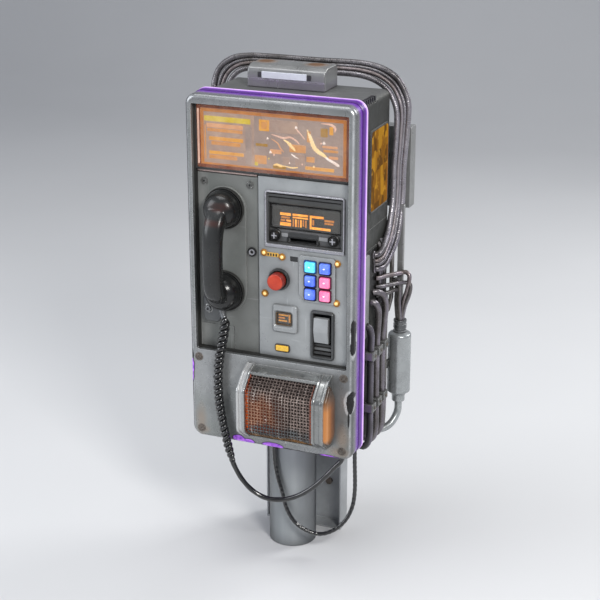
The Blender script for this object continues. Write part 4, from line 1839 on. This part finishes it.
def grip():
    """Bar between the two domes, a little thicker at its ends."""
    centres = resample(spline(GRIP_LINE, 14), 4.0)
    axes = line_frames(centres, Vector((1, 0, 0)))
    verts = []
    sides = 36
    for i, p in enumerate(centres):
        _, a, b = axes[i]
        u = i / (len(centres) - 1)
        wide = 16.4 + 1.6 * abs(2 * u - 1) ** 2
        deep = 11.9 + 1.8 * abs(2 * u - 1) ** 2
        for k in range(sides):
            ca, cb = superellipse(2 * pi * k / sides, wide, deep, 2.9)
            verts.append(p + a * ca + b * cb)
    return tube_solid("part", verts, sides)


def dome(x, z):
    return lathe("part", [
        (0, -20), (7, -19.8), (14, -18.8), (19, -17), (23.4, -14), (26.6, -10.4), (28.9, -6),
        (30.6, -0.6), (31.3, 4), (31.6, 8.8), (0, 8.8)], (x, 0, z), "Y", 64)


handset = joined("handset_shell_body", grip(), dome(*EAR), dome(*MOUTH))
modify(handset, "REMESH", mode="VOXEL", voxel_size=0.0013)
modify(handset, "SMOOTH", factor=0.6, iterations=14)
carve(handset, [cut_box(-140, -30, 8.3, 40, -90, 170)])   # flat seat for the caps
piece(handset, "handset", "black_plastic", "handset_shell", "black_plastic", angle=45,
      weighted=False)
CAP_HOLES = ((15.5, 8), (21.5, 14))   # ring radius, count
for end, (x, z) in (("ear", EAR), ("mouth", MOUTH)):
    piece(lathe(f"handset_{end}_cap", [
        (0, 8.4), (31.2, 8.4), (32.2, 8.9), (32.5, 9.8), (32.5, 12.0), (31.8, 13.6),
        (30.2, 14.8), (27, 15.1), (12, 14.6), (9.6, 13.4), (7.2, 12.6), (0, 12.6)],
        (x, 0, z), "Y", 64, ripple=lambda a, h: 1 + (0.006 * sin(a * 36) if 9 < h < 12.5 else 0)),
        "handset", "black_plastic", f"{end}_cap", "black_plastic")
    holes = []
    for radius, count in CAP_HOLES:
        for k in range(count):
            a = 2 * pi * k / count
            holes.append(ring(
                "part", circle_path(x + radius * cos(a), z + radius * sin(a), 1.3, 12),
                [(-0.3, 15.4), (-0.2, 14.8), (0.5, 14.7), (0.9, 15.4)]))
    piece(joined(f"handset_{end}_holes", *holes), "handset", "gasket_rubber")
boot_line = resample(spline([
    (-86.8, 2, -54), (-86.0, -1.5, -62), (-83.4, -4.6, -68.6), (-79.6, -7.4, -73.6)], 10), 0.8)
piece(sweep("handset_cord_boot", boot_line,
            lambda i, n: 6.2 - 1.5 * i / n + (0.5 if (i // 2) % 2 else 0), 24),
      "handset", "canister_neck", angle=50)
recolour("receiver_capsule", "steel")
recolour("microphone_capsule", "steel")
piece(from_cad("hookswitch_plunger", "hookswitch_plunger_pin", 0.8, 3), "hookswitch",
      "light_plastic", "hookswitch_plunger", "light_plastic")

# ================================================================== CABINET
TEETH, TOOTH_PITCH = 6, 9.5   # row along the upper right edge
cabinet_path = rect_path(-CAB_X, CAB_X, -CAB_Z, CAB_Z, 12, 8)
cabinet = loft("cabinet_shell_body", cabinet_path,
               [(0, CAB_FRONT), (0, 177.5), (-0.8, 179.3), (-2.6, CAB_BACK)])
carve(cabinet, [cut_rect(-139, 139, -293, 293, 9, 6, 40, 177)])
# shallow panel joints and roof notches
carve(cabinet, [
    cut_box(141.0, 150, 50, 190, 79, 81.2), cut_box(141.0, 150, 50, 190, 44, 46),
    cut_box(-150, -141.0, 50, 190, 79, 81.2),
    *[cut_box(137.5, 150, 60 + TOOTH_PITCH * i, 65 + TOOTH_PITCH * i, 288, 300)
      for i in range(TEETH)]])
bevel(cabinet, 0.9, 2, 40)
on_cabinet(cabinet, "cabinet_metal", "cabinet_shell", "cabinet_metal")
teeth = [box("part", 131.5, 141.2, 59.6 + TOOTH_PITCH * i, 65.4 + TOOTH_PITCH * i, 290, 298.6,
             1.2, 2) for i in range(TEETH)]
on_cabinet(joined("cabinet_corner_teeth", *teeth), "cord_rubber")
on_cabinet(ring("cabinet_front_flange", cabinet_path, [
    (0.0, 54), (0.0, 57), (0.9, 57.8), (0.9, 61), (0.0, 62), (-0.4, 62), (-0.4, 54)]),
    "cabinet_metal")
for i, (y0, y1) in enumerate(((70, 78), (150, 158))):
    on_cabinet(box(f"cabinet_side_rib_{i + 1}", -143.4, -142, y0, y1, -270, 270, 0.5, 2),
               "cabinet_metal")


def side_plate(name, y0, y1, z0, z1, corner, x0, x1, edge, side=1):
    """Plate on a side wall (side 1 right, -1 left), edges rounded on its outer face."""
    rows = [(0, x0)]
    for i in range(4):
        a = radians(90 * i / 3)
        rows.append((-edge * (1 - cos(a)), x1 - side * edge * (1 - sin(a))))
    path = rect_path(y0, y1, z0, z1, corner, 5)
    verts = [(x, y + ny * d, z + nz * d) for d, x in rows for y, z, ny, nz in path]
    return solid(name, verts, len(path))


LAMP_X = 142.2
on_cabinet(side_plate("side_lamp_lens_plate", 86, 166, 110, 243, 5, LAMP_X, 145.2, 1.6),
           "side_lamp_amber", "side_lamp_panel", "lamp_amber", angle=50)
lamp_frame = ring("side_lamp_frame", rect_path(86, 166, 110, 243, 5, 5), [
    (0.2, 0), (0.2, 2.2), (1.2, 2.8), (2.6, 2.4), (3, 0)])
# turn the ring from the front plane to the side wall
move_vertices(lamp_frame, lambda x, y, z: (LAMP_X + y, x, z))
on_cabinet(lamp_frame, "cabinet_metal")
on_cabinet(side_plate("left_access_plate", 86, 166, 60, 240, 6, -142.2, -144.4, 1.2, -1),
           "cabinet_metal")
for i, (y, z) in enumerate(((92, 66), (160, 66), (92, 234), (160, 234))):
    on_cabinet(lathe(f"left_plate_screw_{i + 1}", [
        (0, -1.6), (2.4, -1.5), (3.6, -0.8), (3.8, 0.4), (0, 0.4)], (-144.4, y, z), "X", 20),
        "screw_metal")
on_cabinet(side_plate("side_cover_strip", 55.5, 84, -105, 40, 6, 142.1, 145.2, 1.4),
           "side_cover_metal")
on_cabinet(side_plate("side_dark_recess", 86, 127, -56, 42, 4, 142.1, 143.0, 0.5),
           "deep_plastic")


def straight_pipe(name, points, radius, material):
    line = resample([Vector(p) for p in points], 4)
    on_cabinet(sweep(name, line, radius, 14), material, angle=70)


# y, bottom z, top z, radius, x, material
SIDE_RISERS = ((131, -66, 40, 3.6, 145.2, "hose_grey"), (141, -62, 44, 3.2, 145.0, "conduit_dark"),
               (151, -58, 42, 3.8, 145.6, "hose_grey"), (162, -70, 46, 3.0, 144.8, "conduit_dark"))
for i, (y, z0, z1, radius, x, material) in enumerate(SIDE_RISERS):
    straight_pipe(f"side_riser_pipe_{i + 1}",
                  [(x - 3.4, y, z1 + 5), (x, y, z1), (x, y, z0), (x - 3.4, y, z0 - 5)],
                  radius, material)
straight_pipe("rear_riser_pipe",
              [(148, 190, 96), (148, 190, -70), (144, 186, -92), (138, 178, -100)],
              4.0, "conduit_rear")
on_cabinet(box("rear_vertical_bar", 155, 166, 197, 203.5, -80, 96, 1.4, 3), "roof_metal")

# ---- roof module
roof = prism_x("roof_module_body", [
    (112, 296.3), (172, 296.3), (172, 327.5), (166, 333.6), (126, 333.6), (114.5, 328),
    (112, 321)], -86, 52)
bevel(roof, 2.4, 4, 20)
carve(roof, [cut_box(-90, 60, 108, 113.4, 309.6, 310.8),
             cut_box(-31.6, -30.2, 108, 113.2, 290, 309.8)])
on_cabinet(roof, "roof_module_metal", "top_module", "roof_metal")
on_cabinet(loft("roof_module_plate", rect_path(-59.5, 20.6, 312.5, 323.5, 1, 3),
                rolled(110.4, 113, 0.7, 3)), "pale_plate")
for i, (x0, x1) in enumerate(((-66.5, -60.2), (21.4, 27.8))):
    on_cabinet(box(f"roof_module_square_{i + 1}", x0, x1, 110.6, 113, 313.6, 322.4, 0.7, 2),
               "dark_plastic")
for i, (x, y) in enumerate(((-66, 148), (24, 148))):
    cap = lathe(f"roof_module_cap_{i + 1}", [
        (0, 0.9), (9, 0.85), (12.4, 0.5), (13.4, -0.3), (0, -0.3)], (x, y, 333.5), "Z", 40)
    centre = to_row(x, 0, 0).x
    for v in cap.data.vertices:   # stretched to an oval
        v.co.x = centre + (v.co.x - centre) * 1.35
    on_cabinet(cap, "roof_module_metal")

# ---- pole
on_cabinet(lathe("pole_tube", [
    (0, -521), (41.2, -521), (42, -520.2), (42, -306), (42.3, -305), (43.4, -304.6),
    (43.8, -304), (43.8, -297), (43.4, -296.4), (0, -296.4)], (0, 100, 0), "Z", 96),
    "pole_metal", "pole", "pole_metal")

# ---- rail and its bolts
on_cabinet(from_cad("mount_rail", "mount_rail_channel", 1.2, 3), "rail_metal", "mount_rail",
           "steel")
BOLT_Y = 182.9
rail_bolts = [(x, z) for z in (-60, -250, 265, -440) for x in (-40, 40)]
for i, (x, z) in enumerate(rail_bolts):
    parts = [
        lathe("part", [(0, 7.2), (5.0, 7.2), (6.4, 6.4), (6.4, 1.6), (0, 1.6)],
              (x, BOLT_Y, z), "Y", 6),
        lathe("part", [(0, 2.4), (8.2, 2.4), (8.8, 1.9), (8.8, 1.0), (0, 1.0)],
              (x, 183.4, z), "Y", 32)]
    if i > 3:   # top and bottom pairs show a shank
        parts.append(lathe("part", [(0, 1.8), (4.2, 1.8), (4.2, -4.0), (0, -4.0)],
                           (x, BOLT_Y, z), "Y", 24))
    if i > 5:   # the bottom pair also has nuts
        parts.append(lathe("part", [(0, -2.9), (7.0, -2.9), (7.0, -7.6), (6.2, -8.6), (0, -8.6)],
                           (x, BOLT_Y, z), "Y", 6))
    bolt = joined(f"rail_bolt_set_{i + 1}", *parts)
    bevel(bolt, 0.3, 1, 40)
    on_cabinet(bolt, "screw_metal")

# ---- conduits looping from one side, over the roof, to the other; matching stations
LOOP_IN = [
    (138.5, 106, 31), (148, 110, 31), (151, 124, 34), (150, 146, 44), (148, 172, 66),
    (147, 188, 96), (147, 192, 130), (147.2, 192, 165), (150, 192, 215), (150, 192, 255),
    (145, 192, 273), (134, 192, 291), (114, 192, 305), (86, 192, 312.5), (0, 192, 313),
    (-88, 192, 313), (-116, 192, 311), (-137, 192, 304), (-150, 192, 292), (-158, 192, 275),
    (-161, 192, 255), (-160, 192, 225), (-155, 192, 160), (-150, 190, 110), (-148, 172, 66),
    (-150, 146, 44), (-151, 124, 34), (-148, 110, 31), (-138.5, 106, 31)]
LOOP_OUT = [
    (138.5, 112, 5), (149, 117, 4.5), (153, 134, 5), (153.5, 158, 14), (156.5, 186, 37),
    (158.5, 200, 76), (159, 205, 114), (159.5, 206, 163), (163.7, 206, 220), (165, 206, 268),
    (158.3, 206, 289.3), (143.8, 206, 310), (120.7, 206, 323), (88.8, 206, 329.4),
    (0, 206, 329.3), (-90, 206, 329.6), (-122, 204, 329), (-148, 200, 325), (-166, 196, 315),
    (-178, 194, 300), (-184, 192, 280), (-184, 192, 240), (-176, 196, 160), (-165, 200, 90),
    (-156.5, 186, 37), (-153.5, 158, 14), (-153, 134, 5), (-149, 117, 4.5), (-138.5, 112, 5)]
STRANDS = (0.0, 0.40, 0.66, 1.0)   # share of the way from the inner to the outer loop


def loop_at(share):
    return [tuple(a + (b - a) * share for a, b in zip(p, q)) for p, q in zip(LOOP_IN, LOOP_OUT)]


def outside_cabinet(points):
    return [p for p in points if not (-CAB_X < p.x < CAB_X and CAB_FRONT < p.y < CAB_BACK
                                      and -CAB_Z < p.z < CAB_Z)]


def ribbed(name, points, radius, material, *told, pitch=3.2, depth=0.42):
    """Hose with grooves of the given depth every pitch."""
    line = outside_cabinet(resample(spline(points, 20), pitch / 4))
    hose = sweep(name, line, lambda i, n: radius - depth * (0.5 - 0.5 * cos(pi * i / 2)), 14)
    on_cabinet(hose, material, *told, angle=70, weighted=False)


ribbed("loop_conduit_outer_hose", LOOP_OUT, 5.6, "conduit_metal", "loop_conduit_outer",
       "conduit_metal")
ribbed("loop_conduit_inner_hose", LOOP_IN, 5.2, "conduit_metal", "loop_conduit_inner",
       "conduit_metal")
ribbed("loop_hose_strand_1", loop_at(STRANDS[1]), 3.9, "conduit_brown", pitch=2.8, depth=0.3)
ribbed("loop_hose_strand_2", loop_at(STRANDS[2]), 3.7, "conduit_metal", pitch=2.6, depth=0.3)
for side, letter in ((-1, "l"), (1, "r")):
    for j, share in enumerate(STRANDS):
        gland_y, gland_z = 106 + 6 * share, 31 - 26 * share
        r = 7.0 if share in (0.0, 1.0) else 5.2
        gland = lathe(f"conduit_gland_{letter}{j + 1}", [
            (0, 0), (r, 0), (r + 0.3, 0.8), (r + 0.2, 3.0), (r - 0.8, 3.8), (0, 3.8)],
            (0, 0, 0), "X", 24)
        move_vertices(gland,
                      lambda x, y, z: (side * (CAB_X + x), gland_y + y, gland_z + z))
        on_cabinet(gland, "hose_grey")


def drop(y):
    """Run down the right wall and round under the cabinet."""
    return [(150.5, y, -128), (150.5, y, -220), (150.5, y, -286), (147.5, y, -301),
            (140, y, -309), (131, y, -306), (127, y, -294)]


ribbed("side_conduit_front_hose", [(139, 72, -84), (148, 74, -86), (151.5, 78, -100)] + drop(80),
       6.0, "conduit_dark", "side_conduit_front", "conduit_metal", pitch=4.2, depth=0.35)
ribbed("side_conduit_middle_pipe",
       [(139, 96, -50), (149, 98, -50), (154.5, 102, -62), (153.5, 107, -88)] + drop(110),
       5.8, "conduit_side", "side_conduit_middle", "conduit_metal", pitch=9, depth=0.12)
ribbed("side_conduit_rear_pipe",
       [(139, 106, -36), (148, 110, -35), (156, 120, -42), (157.5, 132, -66), (153, 138, -98)]
       + drop(139), 5.8, "conduit_side", "side_conduit_rear", "conduit_metal", pitch=9,
       depth=0.12)
ribbed("side_conduit_thin_pipe", [
    (139, 152, -44), (146, 154, -46), (149, 157, -60), (149, 157, -128), (149, 157, -284),
    (147, 157, -300), (140, 155, -307), (131, 152, -305), (127, 150, -294)],
    4.0, "conduit_rear", pitch=9, depth=0.1)
on_cabinet(from_cad("conduit_rack", "conduit_rack_saddles", 0.7), "clamp_metal", "conduit_rack",
           "steel")
for i, z in enumerate((-138, -233)):
    for j, y in enumerate((80, 110, 139)):
        on_cabinet(box(f"conduit_clamp_{i + 1}_{j + 1}", 142.4, 159.4, y - 10.4, y + 10.4,
                       z - 7.6, z + 7.6, 2.6, 4), "clamp_metal")
        on_cabinet(lathe(f"conduit_clamp_screw_{i + 1}_{j + 1}", [
            (0, 1.6), (2.0, 1.5), (2.8, 0.9), (2.9, -0.5), (0, -0.5)], (159.4, y, z), "X", 18),
            "screw_metal")

# ---- canister behind the right wall
CANISTER = (165, 191, 0)   # axis x, y; profiles carry z
canister = lathe("part", [
    (0, -262), (11.0, -262), (11.5, -261.4), (11.5, -252), (13.5, -247), (18.2, -244.2),
    (19.8, -243), (20.4, -240.6), (20.4, -139), (19.8, -136.2), (18.0, -134), (11.5, -132),
    (11.0, -130), (0, -130)], CANISTER, "Z", 60,
    ripple=lambda a, h: 1 + (0.010 * cos(9 * a) if -242 < h < -138 else 0))
on_cabinet(lathe("canister_neck_collar", [
    (0, -133), (11.6, -133), (11.6, -129), (10.6, -128.4), (10.6, -124.6), (11.6, -124),
    (11.6, -117), (10.6, -116.4), (10.6, -113.6), (11.5, -113), (11.5, -109.6), (11.0, -109),
    (0, -109)], CANISTER, "Z", 40), "canister_neck", angle=40)
pipe_line = resample(spline([
    (165, 191, -258), (164.5, 189, -284), (156, 174, -304), (142, 164, -311), (131, 160, -307),
    (127, 160, -294)], 16), 3)
pipe = sweep("part", outside_cabinet(pipe_line), 6.6, 20)
on_cabinet(joined("canister_and_pipe", canister, pipe), "canister_metal", "canister",
           "roof_metal", angle=50)
on_cabinet(box("canister_bracket_tab", 142.3, 150.5, 168, 184, -196, -184, 0.8, 2),
           "clamp_metal")
# radius, material, stations
CANISTER_HOSES = [
    (3.9, "conduit_brown", [
        (139, 113, -13), (146, 118, -13.4), (153, 146, -17), (160, 176, -22),
        (164.7, 190, -24), (173, 193, -22.6), (179, 192, -27), (179.6, 190, -38),
        (176, 190, -56), (171, 190, -74), (168.5, 190, -110)]),
    (3.6, "hose_grey", [
        (139, 114, -28), (148, 120, -29), (160, 158, -35), (169, 184, -39),
        (175.5, 190, -40.5), (181, 191, -42), (182.7, 190, -49), (180, 190, -64),
        (173.5, 190, -83), (169.5, 190, -105), (168, 190, -112)]),
    (3.8, "hose_grey", [
        (139, 116, -44), (147, 122, -45), (155, 152, -49), (160, 180, -52),
        (162.5, 190, -60), (163, 191, -84), (163, 191, -112)])]
for i, (radius, material, points) in enumerate(CANISTER_HOSES):
    line = outside_cabinet(resample(spline(points, 14), 3))
    on_cabinet(sweep(f"canister_hose_{i + 1}", line, radius, 16), material, angle=70)
for i, (x, y) in enumerate(((158.6, 188), (164, 184.5))):
    line = resample(spline([(x - 4, y - 2, -34), (x, y, -44), (x, y, -76),
                            (x + 2.4, y + 2, -112)], 10), 3)
    on_cabinet(sweep(f"canister_riser_{i + 1}", line, 4.2, 16), "hose_grey", angle=70)

# ---- rear box
on_cabinet(from_cad("rear_junction_box", "rear_junction_box_case", 2.2, 3), "roof_metal",
           "rear_junction_box", "roof_metal")
on_cabinet(loft("rear_box_lid", rect_path(-58, 158, 91, 216, 5, 5),
                [(0, 249.6), (0, 251.4), (-0.6, 252.2), (-1.6, 252.4)]), "roof_metal")
for i, (x, z) in enumerate(((-50, 99), (150, 99), (-50, 208), (150, 208))):
    on_cabinet(lathe(f"rear_lid_screw_{i + 1}", [
        (0, 3.2), (3.0, 3.0), (4.2, 2.2), (4.4, 0.4), (0, 0.4)], (x, 250.6, z), "Y", 24),
        "screw_metal")
FIN_PITCH = 22
for i in range(7):
    x = -30 + i * FIN_PITCH
    on_cabinet(box(f"rear_box_fin_{i + 1}", x, x + 8, 252.0, 257.0, 112, 194, 1.6, 3),
               "roof_metal")

# ---- service cable hanging below the cabinet
CABLE_LINE = [
    (-18.5, 56, -294), (-18.5, 56, -312), (-17.5, 56, -334), (-15.5, 55, -358),
    (-9.8, 53, -382.5), (0.1, 50, -410), (10, 47, -439.5), (25.4, 47, -463), (44.9, 50, -476.5),
    (67.7, 57, -483.3), (90, 64, -476), (109.8, 74, -457.3), (119.3, 84, -434),
    (121.8, 90, -406), (120, 93, -344), (119.5, 93, -294)]
cable_line = [p for p in resample(spline(CABLE_LINE, 20), 2.2) if p.z < -296.2]
on_cabinet(sweep("service_cable_sheath", cable_line, lambda i, n: 3.6 + 0.22 * sin(i * 1.6), 16),
           "cord_rubber", "service_cable", "cord_rubber", angle=70)
for i, (x, y, _) in enumerate((CABLE_LINE[0], CABLE_LINE[-1])):
    gland = lathe(f"cable_gland_{i + 1}", [
        (0, -9), (4.6, -9), (5.0, -8.4), (5.0, -4.4), (6.8, -3.8), (6.8, -0.4), (0, -0.4)],
        (x, y, -CAB_Z), "Z", 6)
    bevel(gland, 0.4, 2, 30)
    on_cabinet(gland, "screw_metal")

# ---- hinge and the parts inside
on_cabinet(from_cad("hinge_leaf_cabinet", "hinge_leaf_cabinet_plate", 0.4), "steel",
           "hinge_leaf_cabinet", "steel")
on_cabinet(from_cad("hinge_pin", "hinge_pin_rod", 0.4), "steel", "hinge_pin", "steel")
recolour("main_board", "circuit_board")
on_cabinet(from_cad("power_supply", "power_supply_case", 1.0), "steel", "power_supply", "steel")
on_cabinet(from_cad("coin_vault", "coin_vault_box", 0.9), "dark_plastic", "coin_vault",
           "dark_plastic")

# ================================================================== CORD ACROSS THE HANDSET JOINT
cord.data.shade_smooth()
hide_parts("handset_cord")
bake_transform(cord, "door", "handset", start=tuple(to_row(-86, -14, -300)),
         end=tuple(to_row(-86, -14, -76)))

# ================================================================== STAGE
# Floor sweeping up into a back wall, in metres
FLOOR_HALF_WIDTH, FLOOR_FRONT, WALL_Y, WALL_TOP, COVE_RADIUS = 9.0, -9.0, 5.0, 5.0, 2
cove = [(WALL_Y - COVE_RADIUS + COVE_RADIUS * sin(radians(a)),
         COVE_RADIUS - COVE_RADIUS * cos(radians(a))) for a in range(0, 91, 10)]
floor_profile = [(FLOOR_FRONT, 0.0)] + cove + [(WALL_Y, WALL_TOP)]
floor_mesh = bpy.data.meshes.new("floor")
count = len(floor_profile)
floor_mesh.from_pydata(
    [(x, y, z) for x in (-FLOOR_HALF_WIDTH, FLOOR_HALF_WIDTH) for y, z in floor_profile], [],
    [(i, i + 1, count + i + 1, count + i) for i in range(count - 1)])
floor_mesh.shade_smooth()
floor = link_mesh("floor", floor_mesh)
net = Nodes("studio_floor")
net.finish(net.mix(net.patches(0.8, 0.3, 0.7, detail=3), (0.60, 0.605, 0.61),
                   (0.64, 0.645, 0.65)), rough=0.7)
floor_mesh.materials.append(MATERIALS["studio_floor"])
fix_normals(floor)
floor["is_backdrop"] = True

world = bpy.data.worlds.new("studio")
scene.world = world
world.use_nodes = True
background = world.node_tree.nodes["Background"]
background.inputs["Color"].default_value = (0.86, 0.90, 1.0, 1)
background.inputs["Strength"].default_value = 0.42


def aim(obj, location, target):
    obj.location = location
    direction = Vector(target) - Vector(location)
    obj.rotation_euler = direction.to_track_quat("-Z", "Y").to_euler()


def area_light(name, location, target, size, power, color):
    light = bpy.data.lights.new(name, "AREA")
    light.energy = power
    light.color = color
    light.shape = "RECTANGLE"
    light.size = size
    light.size_y = size
    obj = bpy.data.objects.new(name, light)
    scene.collection.objects.link(obj)
    aim(obj, location, target)


area_light("key", (1.9, -1.9, 2.3), (0.0, 0.0, 0.55), size=0.7, power=62,
           color=(1.0, 0.98, 0.95))
area_light("fill", (-2.2, -1.6, 1.5), (0.0, 0.0, 0.55), size=1.6, power=34,
           color=(0.93, 0.96, 1.0))
area_light("rim", (1.6, 1.9, 2.0), (0.0, 0.0, 0.6), size=1.0, power=40, color=(1.0, 1.0, 1.0))
area_light("top", (-0.3, -0.2, 2.7), (0.0, 0.0, 0.6), size=1.4, power=26, color=(1.0, 1.0, 1.0))

camera_data = bpy.data.cameras.new("camera")
camera_data.lens = 88.5
camera_data.sensor_width = 36.0
camera_data.clip_end = 50
camera = bpy.data.objects.new("camera", camera_data)
scene.collection.objects.link(camera)
camera.location = (0.9117, -2.2040, 1.3138)
camera_target = Vector((0.0544, -0.1000, 0.4957))
camera.rotation_euler = (camera_target - camera.location).to_track_quat("-Z", "Y").to_euler()
scene.camera = camera
scene.view_settings.view_transform = "Standard"
scene.view_settings.look = "None"
scene.view_settings.exposure = 0.0

VISUAL_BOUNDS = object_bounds()


def plain(bounds):
    # bounds may be a flat list of numbers or a list of vectors
    try:
        return [[float(c) for c in v] for v in bounds]
    except TypeError:
        return [float(c) for c in bounds]


{"cad": plain(CAD_BOUNDS), "visual": plain(VISUAL_BOUNDS)}
